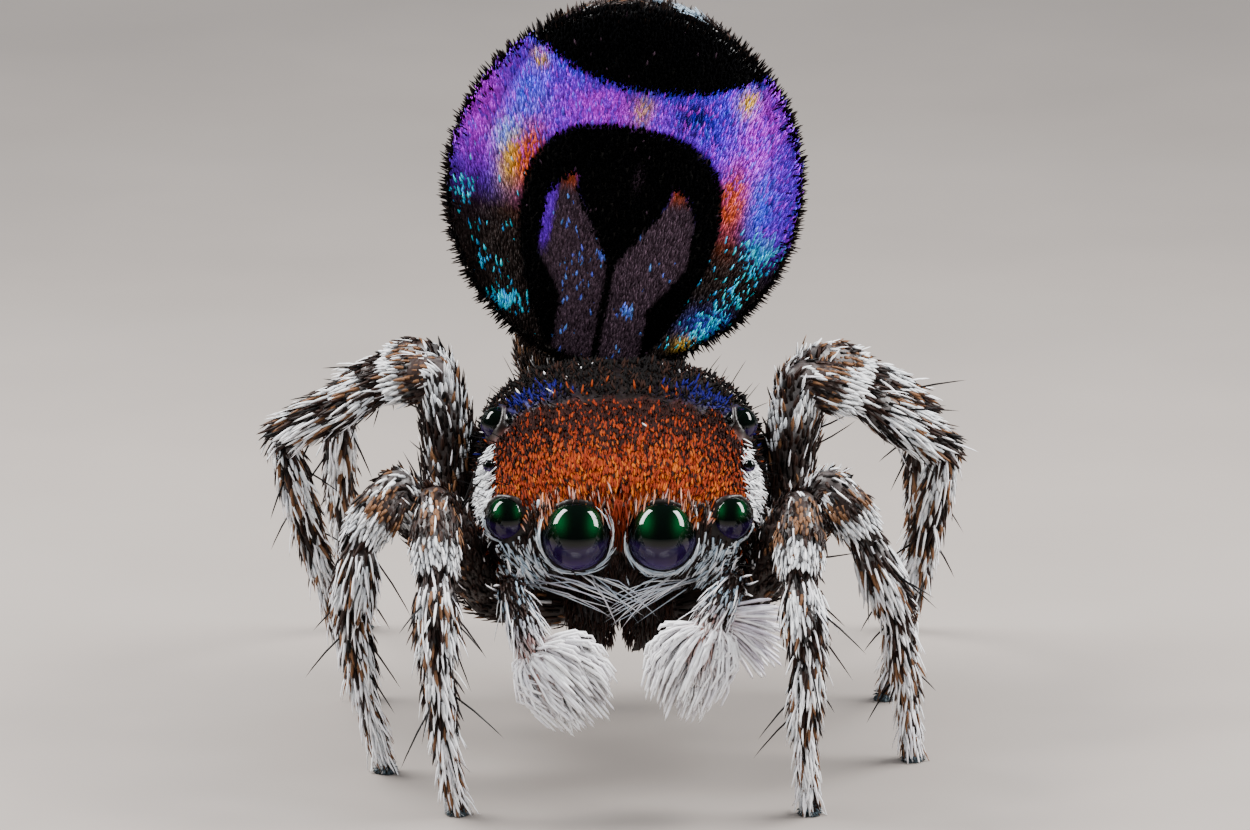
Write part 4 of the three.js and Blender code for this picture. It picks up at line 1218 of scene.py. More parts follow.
def stripe_scales(coat):
    """Broad white scales that stand off the flanks and hang down and forward."""
    rng = draws("stripes")
    for side, turns in (("left", (-0.3, 1.1)), ("right", (np.pi - 1.1, np.pi + 0.3))):
        point, normal, forward, place = on_carapace(
            (0.08, 0.6), turns, 900, SPREADS[side + "_stripe"],
            lambda p: rng.random(len(p)) < stripe_share(p))
        along = combed(rng, forward * 0.4 + np.array([0, 0, -0.6]), normal, 0.75, 0.2)
        colour = blend("white", "bluish", 0.25 * rng.random(len(point)))
        coat.lay(point, along, normal, 0.062, 0.018, place, colour, profile=LEAF, settle=0.1, flat=0.3)


def face_place(point):
    """Unwrap of the flat face: its width and height."""
    return columns((point[:, 0] + 0.6) / 1.2, np.clip((point[:, 2] + 0.5) / 0.8, 0, 1))


def lashes(coat):
    """Longer scales that overhang the front eyes, and a tuft that runs down between the middle two."""
    rng = draws("lashes")
    count = 520
    x = rng.uniform(-0.47, 0.47, count)
    y = rng.uniform(0.0, 0.07, count)
    point, normal, along_y, _ = surface_frame(carapace, y, np.arccos(x / 0.5))
    normal = normal * np.sign(normal[:, 2])[:, None]
    out = np.abs(point[:, 0])
    middle_x, side_x = (EYES[kind][0][0] for kind in FRONT_EYES)
    nearest = np.where(out < 0.29, middle_x, side_x) * np.sign(point[:, 0])
    sideways = columns((point[:, 0] - nearest) * 2.2, 0, 0)
    along = combed(rng, -along_y + sideways, normal, 0.25, 0.12)
    size = mm("lash_length") * rng.uniform(0.6, 1.1, count) * np.where(out > 0.31, 0.4, 1)
    colour = blend("mask", "mask_light", rng.uniform(0.1, 1.0, count))
    tip = mixed(colour, tone("white"), 0.35 * rng.random(count))
    droop = np.array([0, -0.1, -0.3]) - normal * 0.15
    keep = off_eyes(point, 0.002)
    # Painted shade: each lash is darker at its root; the pale tips are its own colour
    coat.add(strands(point[keep], along[keep], normal[keep], size[keep], 0.010, ROUND_HAIR,
                     droop[keep], 0.7),
             face_place(point[keep]), colour[keep] * 0.8, tip[keep])
    count = 120
    root = columns(rng.normal(0, 0.014, count), rng.uniform(-0.03, 0.0, count),
                   rng.uniform(0.0, 0.14, count))
    along = unit(np.array([0, -0.45, -1.0]) + jitter(rng, count, 0.14))
    colour = blend("mask", "brown", smoothstep(0.12, 0.02, root[:, 2]) * rng.random(count))
    # Painted shade: each hair of the tuft is darker at its root
    coat.add(strands(root, along, (0, -1, 0.3), 0.07, 0.009, ROUND_HAIR, 0, 0.7), face_place(root),
             colour * 0.7, colour)


def rim_hairs(coat):
    """Thin pale hairs laid round the lower edge of the front eyes, end to end."""
    rng = draws("rims")
    for _, sign in SIDES:
        for kind, (start, end, count) in RIMS.items():
            at, radius, _ = EYES[kind]
            angle = rng.uniform(start, end, count)
            angle = angle if sign > 0 else -np.pi - angle
            spoke = columns(np.cos(angle), 0, np.sin(angle))
            way = columns(-np.sin(angle), 0, np.cos(angle))
            way = way * np.sign(-sign * np.cos(angle) + 1e-6)[:, None]
            root = mirrored(at, sign) + spoke * (radius + rng.uniform(0.001, 0.008, count))[:, None]
            root[:, 1] -= radius * rng.uniform(0.25, 0.5, count)
            along = combed(rng, way, spoke, 0.12, 0.08)
            colour = blend("bluish", "white", rng.uniform(0.1, 0.9, count))
            coat.lay(root, along, spoke, radius * rng.uniform(0.5, 0.8, count), 0.0075,
                     face_place(root), colour, profile=ROUND_HAIR, settle=0.28, flat=0.7)


def before_lens(points):
    """True where a point lies over one of the four front lenses, seen from the front."""
    covered = np.zeros(len(points), dtype=bool)
    for kind in FRONT_EYES:
        (x, _, z), radius, _ = EYES[kind]
        covered |= np.hypot(np.abs(points[:, 0]) - x, points[:, 2] - z) < 0.97 * radius
    return covered


def face_hairs(coat):
    """Brown hairs over the whole face between the eyes, and bluish scales under the side eyes."""
    rng = draws("face")
    count = 2400
    x = rng.uniform(-0.46, 0.46, count)
    z = rng.uniform(-0.17, 0.15, count)
    out = np.abs(x)
    y = np.interp(out, (0.38, 0.45, 0.475), (0.0, 0.03, 0.1)) + 0.02 * smoothstep(-0.1, -0.17, z)
    root = columns(x, y, z)
    normal = unit(columns(np.sign(x) * smoothstep(0.3, 0.5, out), -1, 0))
    inward = -np.sign(x) * smoothstep(0.02, 0.12, out) * smoothstep(0.05, -0.12, z)
    along = unit(columns(inward * 0.9, -0.3, -1) + jitter(rng, count, 0.2))
    cheek = smoothstep(0.27, 0.33, out) * smoothstep(0.04, -0.03, z)
    pale = rng.random(count) < 0.05 + 0.65 * cheek
    colour = mixed(blend("cuticle", "brown", rng.random(count)),
                   blend("bluish", "white", rng.random(count)), pale * 0.95)
    keep = off_eyes(root, 0.004)
    for reach in (0.035, 0.07):
        keep &= ~before_lens(root + along * reach)
    coat.lay(root[keep], along[keep], normal[keep], rng.uniform(0.05, 0.085, count)[keep],
             np.where(pale, 0.0115, 0.009)[keep], face_place(root[keep]), colour[keep])


def beard(coat):
    """Long bristles below the front eyes that sweep inwards and cross under the middle, each level
    at first and then bent down to its tip, with short brown hairs on the jaws behind them."""
    rng = draws("beard")
    for _, sign in SIDES:
        count = 17
        out = rng.uniform(0.05, 0.42, count)
        root = columns(sign * out, 0.14 * smoothstep(0.3, 0.42, out), -0.13 - 0.07 * rng.random(count))
        reach = 0.32 * out - 0.12 + rng.normal(0, 0.04, count)
        tip = columns(sign * reach, -0.1 + rng.normal(0, 0.02, count), -0.2 - 0.14 * rng.random(count))
        bend = columns(0, 0.02, rng.uniform(-0.15, 0.02, count))
        colour = mixed(blend("lilac", "bluish", rng.random(count)), tone("white"), rng.random(count))
        width = mm("beard_width") * rng.uniform(0.8, 1.25, count)
        coat.add(strands(root, tip - root - bend, (0, -1, 0.25), 1.0, width, ROUND_HAIR, bend, 0.8),
                 face_place(root), mixed(colour, tone("brown"), 0.4), colour, ramp=0.4)
        point, along, normal = tube_hairs(jaw(sign), 520, SPREADS["jaws"] + sign, rng, 0.25, 0.15)
        coat.lay(point, along, normal, 0.05, 0.008, face_place(point),
                 blend("cuticle", "brown", rng.random(len(point))), profile=ROUND_HAIR, settle=0.1,
                 flat=0.8)


def scale_finish(name, roughness, gloss):
    return marked_material(name, {"Roughness": roughness, "Specular IOR Level": gloss}, (2.5e-5, 0.12))


class SPIDER_OT_face(Operator):
    """Grows the orange mask, the dark dome, the white stripes, lashes, rims, cheeks and beard"""
    bl_idname = "spider.face"
    bl_label = "Head scales"

    def execute(self, context):
        # Flat chitin scales with a dye inside: dry and matt, with a faint satin edge
        dyed = scale_finish("dyed_chitin_scales", 0.75, 0.1)
        grow("mask_scales", dyed, (mask_scales, lashes))
        grow("carapace_scales", dyed, (dome_scales, stripe_scales))
        grow("underside_hairs", dyed, (underside_hairs, rear_hairs, long_setae))
        # Hollow air-filled bristles: bright white along their length, satin where they turn
        hollow = scale_finish("hollow_white_bristles", 0.45, 0.4)
        grow("face_bristles", hollow, (rim_hairs, face_hairs, beard))
        return {"FINISHED"}


# Limbs' coat
# Each limb has a box of the unwrap to itself: BOX_STEP from its neighbour, BOX_SIZE wide.

BOX_STEP = 0.3
BOX_SIZE = 0.24
SIDE_EDGE = 0.35  # long side hairs grow where the turn's cosine is past this


def limb_scales(coat, limb, start, end, count, seed, paint_at, size, width, lift, box,
                profile=LANCE, flat=0.4, droop=0.15, edge=0.0):
    """Scales laid along part of a limb towards its tip, coloured by a function of length and turn;
    with an edge, only those near the limb's two sides are left."""
    rng = np.random.default_rng(seed)
    pairs = even_pairs(count, seed)
    s = start + pairs[:, 0] * (end - start)
    turn = pairs[:, 1] * 2 * np.pi
    point, normal, tangent = limb.frame(s, turn)
    along = combed(rng, tangent, normal, rng.uniform(0.6 * lift, 1.4 * lift, (count, 1)), 0.13)
    colour = paint_at(limb, s, turn, rng)
    length = size * rng.uniform(0.7, 1.25, count)
    keep = np.abs(np.cos(turn)) >= edge
    place = box + columns(s / limb.length, (turn / (2 * np.pi)) % 1) * BOX_SIZE
    # Painted shade: each scale is darker at its root, where it lies under its neighbours
    coat.lay(point[keep], along[keep], normal[keep], length[keep], width, place[keep],
             colour[keep] * 0.85, colour[keep], profile, droop, flat)


def white_hair_colours(limb, s, turn, rng):
    return blend("white", "lilac", 0.4 * rng.random(len(s)))


def side_hairs(coat, limb, start, end, count, seed, size, width, lift, box):
    """Long white hairs that stand out from both edges of a limb and point to its tip."""
    limb_scales(coat, limb, start, end, count, seed, white_hair_colours, size, width, lift, box,
                ROUND_HAIR, droop=0.2, edge=SIDE_EDGE)


# Palps

BRUSH_HALVES = (0.225, 0.195, 0.125)  # of the shape that the tips lie on: along, across, front to back
BRUSH_SHIFT = (0.19, 0.045)  # of its middle: along the hand from the wrist, and towards the mouth


def arm_colours(limb, s, turn, rng):
    """Brown scales that give way to bluish white ones, and to pink and white ones at the wrist."""
    knee, wrist = limb.ends[1:3]
    pale = rng.random(len(s)) < 0.12 + 0.75 * smoothstep(knee * 0.8, wrist, s)
    tip = mixed(tone("bluish"), blend("blush", "white", rng.random(len(s))),
                smoothstep(knee * 1.1, wrist, s))
    return mixed(blend("cuticle", "brown", rng.random(len(s))), tip, pale * 0.95)


def hand_colours(limb, s, turn, rng):
    return blend("blush", "white",
                 smoothstep(limb.ends[2], limb.length, s + 0.06 * rng.random(len(s))))


def brush(coat, limb, rng, box):
    """Bristles that fan out from the wrist and curve back inwards: their tips lie on a stretched
    sphere, and each is the parabola through its root, a middle pushed outwards and its tip."""
    wrist = limb.sample(limb.path, limb.ends[2] - 0.02)
    axis = unit(limb.path[-1] - limb.sample(limb.path, limb.ends[2]))
    lateral = unit(np.cross([0.0, 1.0, 0.0], axis))
    depth = np.cross(axis, lateral)
    inwards = lateral * -np.sign(lateral[0] * wrist[0])
    centre = wrist + axis * BRUSH_SHIFT[0] + inwards * BRUSH_SHIFT[1]
    count = sizes().brush_count
    pairs = even_pairs(count, SPREADS["brush"])
    turn = pairs[:, 0] * 2 * np.pi
    back = 0.75 - 1.7 * pairs[:, 1]
    ring = (lateral * np.cos(turn)[:, None] * BRUSH_HALVES[1]
            + depth * np.sin(turn)[:, None] * BRUSH_HALVES[2])
    across = ring * np.sqrt(np.clip(1 - back ** 2, 0, 1))[:, None]
    layer = rng.random(count)
    shell = (axis * -back[:, None] * BRUSH_HALVES[0] + across) * (0.74 + 0.3 * layer)[:, None]
    tip = centre + shell
    root = wrist + (tip - wrist) * 0.1 + across * 0.16 + jitter(rng, count, 0.005)
    middle = (root + tip) / 2 + across * 0.32 + jitter(rng, count, 0.003)
    bend = 2 * (root + tip) - 4 * middle
    # Painted shade: the inner layers of bristles are darkened towards brown, so that they read as the
    # shade in the gaps between the white outer ones
    painted_shade = np.clip(1 - 2 * layer, 0, 1)[:, None] * 0.65
    colour = blend("white", "lilac", 0.4 * rng.random(count)) * (1 - painted_shade) + tone("brown") * painted_shade
    width = mm("brush_width") * rng.uniform(0.8, 1.15, count)
    coat.add(strands(root, tip - root - bend, unit(shell), 1.0, width, BLUNT, bend, 0.85, sides=4),
             box + pairs * 0.25, mixed(colour, tone("blush"), 0.7), colour, ramp=0.3)


def outer_fan(coat):
    """A second, thinner fan of long hairs behind the left brush, spread sideways."""
    rng = draws("outer_fan")
    limb = PALP_LIMBS["palp_left"]
    count = 70
    angle = rng.uniform(-0.9, 0.35, count)
    along = unit(columns(np.cos(angle), rng.normal(0.12, 0.1, count), np.sin(angle)))
    root = limb.sample(limb.path, limb.ends[2] - 0.05) + along * 0.05 + jitter(rng, count, 0.012)
    colour = blend("lilac", "white", rng.random(count))
    coat.add(strands(root, along, (0, -1, 0), rng.uniform(0.17, 0.26, count), 0.016, BLUNT,
                     (-0.05, 0, -0.16), 0.8),
             np.array([0.0, 0.8]) + rng.random((count, 2)) * 0.1,
             mixed(colour, tone("blush"), 0.6), colour, ramp=0.4)


def palp_layer(coat):
    """The coat of both palps: scales of arm and hand, the white brush and long side hairs."""
    for i, limb in enumerate(PALP_LIMBS.values()):
        box = np.array([BOX_STEP * i, 0.0])
        knee, wrist = limb.ends[1:3]
        limb_scales(coat, limb, 0.05, wrist, 900, SPREADS["arm"] + i, arm_colours, 0.06, 0.012, 0.3,
                    box)
        limb_scales(coat, limb, wrist, limb.length, 500, SPREADS["hand"] + i, hand_colours, 0.08,
                    0.012, 0.5, box)
        brush(coat, limb, draws("palps", i), box + np.array([0, 0.5]))
        side_hairs(coat, limb, knee * 0.9, wrist, 60, SPREADS["palp_sides"] + i, 0.14, 0.012, 0.55,
                   box)


class SPIDER_OT_palps(Operator):
    """Grows the palps' scales and their white brushes"""
    bl_idname = "spider.palps"
    bl_label = "Palps"

    def execute(self, context):
        hollow = bpy.data.materials["hollow_white_bristles"]
        grow("palp_bristles", hollow, (palp_layer, outer_fan))
        return {"FINISHED"}


# Legs
# Share of the densest coat and of a scale's full length, for coxa, femur, kneecap, shin and foot
LEG_SHARES = (0.4, 0.5, 0.75, 0.62, 0.5)
LEG_LENGTHS = (0.7, 0.8, 0.62, 1.0, 0.95)
SPINES = ((1, 4), (3, 5), (4, 4))  # segment and number on it: femur, shin and foot


def leg_colours(seed):
    """The pattern of one leg, as a function that colours its scales."""
    waves = np.random.default_rng(seed).uniform(0, 6, 4)

    def colours(limb, s, turn, rng):
        """White scales in bunches: crossed waves and a little chance, as an even rank from 0 to 1,
        are white where they fall below the band's chance and tan just above it."""
        white, tan = band_chances(limb, s)
        wave = (np.sin(4 * turn + waves[0] + 2 * np.sin(5 * s)) * 0.7
                + np.sin(20 * s + waves[1] + 1.3 * np.sin(2 * turn + waves[2])) * 0.7
                + rng.normal(0, 0.45, len(s)))
        rank = (wave.argsort().argsort() / len(s))[:, None]
        dark = blend("dark", "brown", rng.uniform(0.0, 0.8, len(s)))
        pale = blend("white", "bluish", 0.35 * rng.random(len(s))) * rng.uniform(0.65, 1, (len(s), 1))
        brownish = np.where(rank < (white + tan)[:, None], tone("tan"), dark)
        return np.where(rank < white[:, None], pale, brownish)
    return colours


def spines(coat, limb, seed, box):
    """Long thin dark spines that stand out from the femur, shin and foot."""
    rng = np.random.default_rng(seed)
    s = np.concatenate([limb.ends[i] + (limb.ends[i + 1] - limb.ends[i]) * rng.uniform(0.2, 0.9, n)
                        for i, n in SPINES])
    turn = rng.uniform(0, 2 * np.pi, len(s))
    point, normal, tangent = limb.frame(s, turn)
    along = combed(rng, tangent * 0.7, normal, 0.8, 0.12)
    coat.add(strands(point, along, normal, rng.uniform(0.13, 0.24, len(s)), 0.010, ROUND_HAIR,
                     tangent * 0.15, 0.9),
             box + columns(s / limb.length, turn / UNWRAP_TURN) * BOX_SIZE, tone("dark"))


def claw_tuft(coat, limb, seed, box):
    """A dense dark pad of short hairs under the tip, spread on the floor."""
    rng = np.random.default_rng(seed)
    count = 150
    along = unit(rng.normal(0, 1, (count, 3)) * np.array([1, 1, 0.5]) + np.array([0, -0.3, -0.55]))
    root = limb.path[-1] + np.array([0, -0.006, 0.022]) + along * 0.016
    colour = mixed(tone("tuft"), tone("bluish") * 0.5, 0.5 * rng.random(count))
    coat.add(strands(root, along, np.cross(along, [0.3, 1.0, 0.2]), 0.036, 0.010, LANCE,
                     (0, 0, -0.2), 0.6),
             box + rng.random((count, 2)) * 0.05, colour)


def leg_coat(coat, limb, seed, box):
    """One leg's scales from coxa to toe, its long side hairs, spines and claw tuft."""
    ends, paint_at = limb.ends, leg_colours(seed)
    for part, (share, length) in enumerate(zip(LEG_SHARES, LEG_LENGTHS)):
        start, end = ends[part:part + 2]
        limb_scales(coat, limb, start, end, int(sizes().leg_count * share * (end - start)),
                    seed * 10 + part, paint_at, mm("leg_scale_length") * length,
                    mm("leg_scale_width"), 0.2, box, droop=0.08)
    limb_scales(coat, limb, ends[5], limb.length - 0.03, 380, seed + 2, paint_at, 0.08, 0.011, 0.16,
                box)
    side_hairs(coat, limb, ends[3], limb.length - 0.08, 230, seed + 4, 0.13, 0.0125, 0.42, box)
    side_hairs(coat, limb, ends[1], ends[3], 60, seed + 5, 0.1, 0.010, 0.4, box)
    spines(coat, limb, seed + 6, box)
    claw_tuft(coat, limb, seed + 7, box + np.array([0, 0.5]))


def leg_pair(number):
    """The layer that coats the two legs of a number."""
    def layer(coat):
        for i, (side, _) in enumerate(SIDES):
            leg_coat(coat, LEG_LIMBS[f"leg{number}_{side}"], SPREADS["legs"] + number * 10 + i,
                     np.array([BOX_STEP * i, 0.0]))
    return layer


class SPIDER_OT_legs(Operator):
    """Grows the scales, long hairs, spines and claw tufts of the eight legs"""
    bl_idname = "spider.legs"
    bl_label = "Leg scales"

    def execute(self, context):
        # Flat overlapping chitin scales: dry, with a satin gloss along each
        flat = scale_finish("flat_leg_scales", 0.55, 0.25)
        for number in (1, 2, 3, 4):
            grow(f"leg{number}_scales", flat, (leg_pair(number),))
        return {"FINISHED"}


# Fan and abdomen, worked out in the abdomen's own frame

FAN_RIM = 0.985


def fan_places(count, seed, keep):
    """Places on the displayed back: even over its ellipse, thinned by a chance."""
    pairs = even_pairs(count * 2, seed) * 2 - 1
    pairs = pairs[np.hypot(*pairs.T) < FAN_RIM]
    p, q = pairs[keep(*pairs.T)][:count].T
    point, normal, across, along = surface_frame(fan_front, p, q)
    normal = normal * np.sign(-normal[:, 1])[:, None]
    return p, q, point, normal, across, along


def fan_place(p, q):
    return columns(p + 1, q + 1) / 2


def band_scales(coat):
    """Broad scales of the coloured band and the lobes, laid towards the spinnerets."""
    rng = draws("band")
    p, q, point, normal, across, along = fan_places(
        sizes().fan_count, SPREADS["band"], lambda p, q: rng.random(len(p)) > fan_zones(p, q)[0])
    count = len(p)
    facing = unit(normal + jitter(rng, count, 0.22))
    way = combed(rng, along + across * (0.45 * p)[:, None], normal, 0.28, 0.08)
    size = mm("fan_scale_length") * rng.uniform(0.8, 1.2, count)
    colour = fan_marking(p, q, rng)
    coat.add(strands(point, way, facing, size, mm("fan_scale_width"), SHORT_LEAF, -normal * 0.12,
                     0.15), fan_place(p, q), colour)


def velvet_scales(coat):
    """Black scales that stand up from the cap, the arch and the rim."""
    rng = draws("velvet")
    p, q, point, normal, across, along = fan_places(
        sizes().velvet_count, SPREADS["velvet"], lambda p, q: rng.random(len(p)) < fan_zones(p, q)[0])
    count = len(p)
    way = combed(rng, along * 0.8 + across * (0.4 * p)[:, None], normal, 0.75, 0.2)
    size = 0.034 * rng.uniform(0.7, 1.3, count)
    colour = blend("velvet", "lobe", 0.9 * (rng.random(count) < 0.006))
    colour = mixed(colour, tone("lobe"), 0.5 * patch_share(p, q, 0.06, 0.07, 0.022, 0.06))
    coat.lay(point, way, normal, size, 0.011, fan_place(p, q), colour, profile=SHORT_LANCE,
             settle=0.1, flat=0.6)


def fringe_bristles(coat):
    """Bristles round the rim of the fan, outwards and a little towards the spinnerets."""
    rng = draws("fringe")
    count = 3600
    turn = rng.uniform(0, 2 * np.pi, count)
    share = rng.uniform(0.9, FAN_RIM, count)
    p, q = share * np.sin(turn), share * np.cos(turn)
    back = rng.random(count)[:, None]
    point = fan_front(p, q) * (1 - back) + fan_back(p, q) * back
    radial = unit(columns(p * FAN_WIDTH, 0, q * FAN_LENGTH))
    way = unit(radial + np.array([0, 0, 0.25]) + np.array([0, 1, 0]) * (back - 0.6) * 0.9
               + jitter(rng, count, 0.1))
    size = mm("fringe_length") * rng.uniform(0.55, 1.15, count)
    coat.add(strands(point, way, (0, -1, 0), size, 0.0075, ROUND_HAIR, radial * -0.05, 0.8),
             fan_place(p, q), blend("velvet", "cuticle", rng.random(count)))


def belly_hairs(coat):
    """Short hairs over the belly and flanks, pointing to the spinnerets."""
    rng = draws("belly")
    share, turn = scatter(abdomen, (0.02, 0.98), (-0.2, np.pi + 0.2), sizes().belly_count,
                          SPREADS["belly"])
    point, normal, along, _ = surface_frame(abdomen, share, turn)
    outwards = point - np.array([0, FAN_PLANE, FAN_MIDDLE])
    normal = normal * np.sign(np.einsum("ij,ij->i", normal, outwards))[:, None]
    count = len(share)
    way = combed(rng, along, normal, rng.uniform(0.2, 0.5, (count, 1)), 0.16)
    colour = body_colours(rng, count, smoothstep(0.75, 0.2, np.abs(np.cos(turn))))
    near_end = smoothstep(0.9, 0.95, share) * (np.abs(point[:, 0] - 0.1) < 0.12)
    colour = mixed(colour, tone("bluish"), (rng.random(count) < 0.85) * near_end)
    place = columns(share, turn / (2 * np.pi) % 1)
    # Painted shade: each hair is darker at its root, where it lies under its neighbours
    coat.lay(point, way, normal, 0.062 * rng.uniform(0.7, 1.2, count), 0.0095, place, colour * 0.8,
             colour, profile=SHORT_LANCE)


def haunch_hairs(coat):
    """Hairs over the abdomen's rounded front end and over the flaps' hidden rear faces."""
    rng = draws("haunch")
    point, way, normal, place = round_hairs(HAUNCH_CENTRE, HAUNCH_HALVES, 4200, SPREADS["haunch"],
                                            (0, 0, 1.0))
    colour = body_colours(rng, len(point), 0.6)
    # Painted shade: each hair is darker at its root, where it lies under its neighbours
    coat.lay(point, way, normal, 0.065, BODY_HAIR_WIDTH, place, colour * 0.8, colour)
    pairs = even_pairs(5200, SPREADS["flaps"]) * 2 - 1
    out = np.hypot(*pairs.T)
    p, q = pairs[(out < 0.97) & (out > 0.5)].T
    point, normal, across, along = surface_frame(fan_back, p, q)
    normal = normal * np.sign(normal[:, 1])[:, None]
    way = combed(rng, across * p[:, None] + along * (q + 0.5)[:, None], normal, 0.45, 0.15)
    coat.lay(point, way, normal, 0.06, BODY_HAIR_WIDTH, fan_place(p, q),
             blend("dark", "brown", 0.6 * rng.random(len(p))), settle=0.1)


class SPIDER_OT_fan(Operator):
    """Lays the fan's iridescent scales, velvet black, fringe and the abdomen's hairs"""
    bl_idname = "spider.fan"
    bl_label = "Fan and abdomen"

    def execute(self, context):
        # Scales with a fine grating inside: each mirrors one pure colour, so it reads as metal
        grating = marked_material("grating_scales", {
            "Roughness": 0.45, "Metallic": 0.4, "Specular IOR Level": 0.1,
        }, (4e-5, 0.15))
        grow("fan_scales", grating, (band_scales,), leaning)
        # Cup-shaped black scales that trap the light: no shine at any angle
        velvet = marked_material("light_trap_scales", {"Roughness": 1.0, "Specular IOR Level": 0.05},
                                 (2e-5, 0.2))
        grow("fan_velvet", velvet, (velvet_scales,), leaning)
        grow("fan_fringe", velvet, (fringe_bristles,), leaning)
        flat = bpy.data.materials["flat_leg_scales"]
        grow("belly_hairs", flat, (belly_hairs,), leaning)
        grow("haunch_hairs", flat, (haunch_hairs,), leaning)
        return {"FINISHED"}


# Stage

VIEW_ELEVATION = np.radians(15)
VIEW_DISTANCE = 60.0  # from the eyes' midpoint, mm
PIXELS_PER_MM = 272.0
PHOTO_SIZE = (1250, 830)
EYES_AT_PIXEL = (619, 535)
SENSOR_WIDTH = 36.0
VIEW_RANGE = (1e-3, 2.0)  # nearest and farthest distance that the camera shows, metres
PANEL_DISTANCE = 9.0  # of each light panel from the eyes
PANEL_POWER = 0.0021
# Light panels: direction, long side and half sizes
PANELS = {
    "window_left": ((-0.678, 0.734, -0.042), (0.405, 0.359, -0.262), (0.78, 0.27)),
    "window_right": ((0.742, 0.67, 0.017), (-0.361, 0.409, -0.38), (0.82, 0.27)),
}
SKY_LEVELS = (1.65, 0.05)  # strength of the even light, and of what dark gloss mirrors of it
SKY_COLOUR = (0.86, 0.9, 0.95, 1.0)
FLOOR_LEVEL = FLOOR - 0.002  # a hair's breadth below the feet
FLOOR_RADII = (0.5, 10, 60, 400)
FLOOR_SIDES = 96


def view_axes():
    look = np.array([0, np.cos(VIEW_ELEVATION), -np.sin(VIEW_ELEVATION)])
    right = np.array([1.0, 0, 0])
    return look, right, np.cross(right, look)


def aim(thing, position, target):
    """Places the camera, in millimetres, looking along its -Z axis at the target."""
    way = Vector(target) - Vector(position)
    turn = way.to_track_quat("-Z", "Y").to_matrix().to_4x4()
    thing.matrix_world = Matrix.Translation(Vector(placed(np.array(position)))) @ turn


def add_camera():
    """The photo's view: aimed so that the eyes' midpoint falls on its pixel."""
    look, right, up = view_axes()
    centre = np.array([0, EYE_CENTRE_DEPTH, 0])
    target = (centre + right * (PHOTO_SIZE[0] / 2 - EYES_AT_PIXEL[0]) / PIXELS_PER_MM
              + up * (EYES_AT_PIXEL[1] - PHOTO_SIZE[1] / 2) / PIXELS_PER_MM)
    data = bpy.data.cameras.new("camera")
    data.sensor_width = SENSOR_WIDTH
    data.lens = SENSOR_WIDTH * VIEW_DISTANCE * PIXELS_PER_MM / PHOTO_SIZE[0]
    data.clip_start, data.clip_end = VIEW_RANGE
    camera = bpy.data.objects.new("camera", data)
    bpy.context.collection.objects.link(camera)
    aim(camera, target - look * VIEW_DISTANCE, target)
    bpy.context.scene.camera = camera


def add_panel(name, direction, long_side, reach):
    """A flat light panel: direction, long side and half sizes are given in the camera's axes, so
    that its reflection in an eye is the slanted window that the photo shows."""
    look, right, up = view_axes()
    axes = np.stack([right, up, -look], axis=1)
    outwards = unit(axes @ np.array(direction))
    long_way = axes @ np.array(long_side)
    long_way = unit(long_way - outwards * (outwards @ long_way))
    data = bpy.data.lights.new(name, "AREA")
    data.shape = "RECTANGLE"
    data.size, data.size_y = (PANEL_DISTANCE * share * MM for share in reach)
    data.energy = PANEL_POWER
    lamp = bpy.data.objects.new(name, data)
    bpy.context.collection.objects.link(lamp)
    turn = np.stack([long_way, np.cross(outwards, long_way), outwards], axis=1)
    place = Matrix.Translation(Vector(placed(outwards * PANEL_DISTANCE)))
    lamp.matrix_world = place @ Matrix(turn.tolist()).to_4x4()


def add_world():
    """Even pale light; mirrors see it dimmed, so that dark gloss stays dark."""
    world = bpy.data.worlds.new("studio")
    world.use_nodes = True
    tree = world.node_tree
    tree.nodes.clear()
    path = add_node(tree, "ShaderNodeLightPath")
    level = add_node(tree, "ShaderNodeMapRange", {"To Min": SKY_LEVELS[0], "To Max": SKY_LEVELS[1]},
                     {"Value": path.outputs["Is Glossy Ray"]})
    light = add_node(tree, "ShaderNodeBackground", {"Color": SKY_COLOUR},
                     {"Strength": level.outputs["Result"]})
    output = add_node(tree, "ShaderNodeOutputWorld")
    tree.links.new(light.outputs["Background"], output.inputs["Surface"])
    bpy.context.scene.world = world


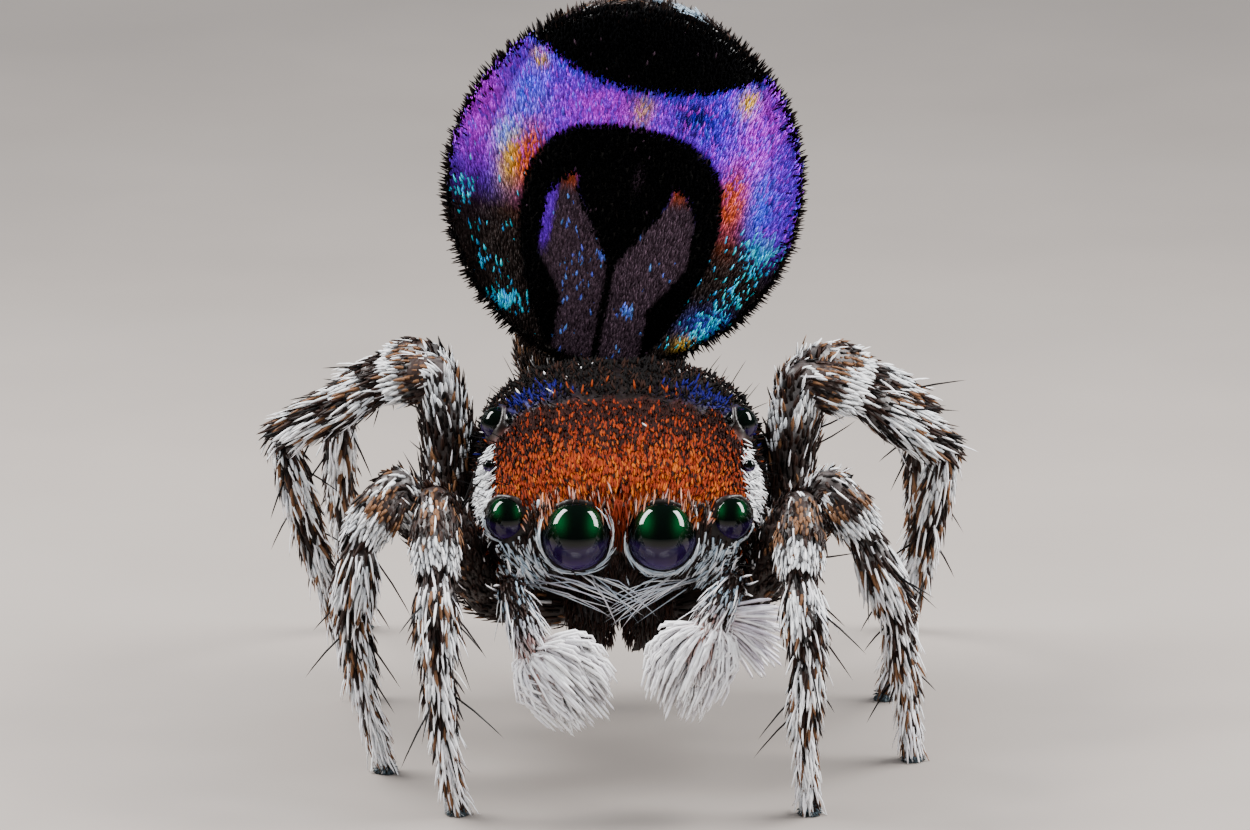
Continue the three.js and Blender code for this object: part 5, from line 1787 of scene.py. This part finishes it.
def add_floor():
    """A flat disc of rings that widen outwards, with a point in the middle."""
    rows, sides = len(FLOOR_RADII), FLOOR_SIDES
    turn = np.linspace(0, 2 * np.pi, sides, endpoint=False)[None]
    radius = np.array(FLOOR_RADII)[:, None]
    rings = columns(radius * np.cos(turn), radius * np.sin(turn), FLOOR_LEVEL)
    points = ORIGIN + np.concatenate([rings.reshape(-1, 3), [[0, 0, FLOOR_LEVEL]]]) * MM
    ring = np.arange(sides)
    middle = np.stack([ring, (ring + 1) % sides, np.full(sides, rows * sides)], axis=1)
    faces = np.concatenate([grid_faces(rows, sides)[:, ::-1], middle])
    floor = new_object("floor", points, faces, np.tile(tone("plaster"), (len(points), 1)))
    # Sealed plaster board: pale, matt, with a very faint mottle
    floor.data.materials.append(marked_material("sealed_plaster", {"Roughness": 0.8}, (1.5e-3, 0.05)))


class SPIDER_OT_stage(Operator):
    """Lays the pale floor and sets the camera and the soft lights"""
    bl_idname = "spider.stage"
    bl_label = "Stage"

    def execute(self, context):
        for name in ("Cube", "Light", "Camera"):
            if name in bpy.data.objects:
                bpy.data.objects.remove(bpy.data.objects[name])
        add_floor()
        add_world()
        for name, panel in PANELS.items():
            add_panel(name, *panel)
        add_camera()
        return {"FINISHED"}


# Panel and registration

class SPIDER_PT_panel(Panel):
    """Lists the steps that dress the spider"""
    bl_idname = "SPIDER_PT_panel"
    bl_label = "Peacock spider"
    bl_space_type = "VIEW_3D"
    bl_region_type = "UI"
    bl_category = "Spider"

    def draw(self, context):
        for step in STEPS:
            self.layout.operator(step.bl_idname)
        for group in (context.scene.spider_sizes, context.scene.spider_colours):
            for key in type(group).__annotations__:
                self.layout.prop(group, key)


STEPS = (SPIDER_OT_skin, SPIDER_OT_eyes, SPIDER_OT_face, SPIDER_OT_palps, SPIDER_OT_legs,
         SPIDER_OT_fan, SPIDER_OT_stage)
CLASSES = (SpiderColours, SpiderSizes) + STEPS + (SPIDER_PT_panel,)


def register():
    for cls in CLASSES:
        bpy.utils.register_class(cls)
    bpy.types.Scene.spider_colours = PointerProperty(type=SpiderColours)
    bpy.types.Scene.spider_sizes = PointerProperty(type=SpiderSizes)


def unregister():
    del bpy.types.Scene.spider_sizes
    del bpy.types.Scene.spider_colours
    for cls in reversed(CLASSES):
        bpy.utils.unregister_class(cls)


def main():
    register()
    for step in STEPS:
        group, name = step.bl_idname.split(".")
        getattr(getattr(bpy.ops, group), name)()


if __name__ == "__main__":
    main()
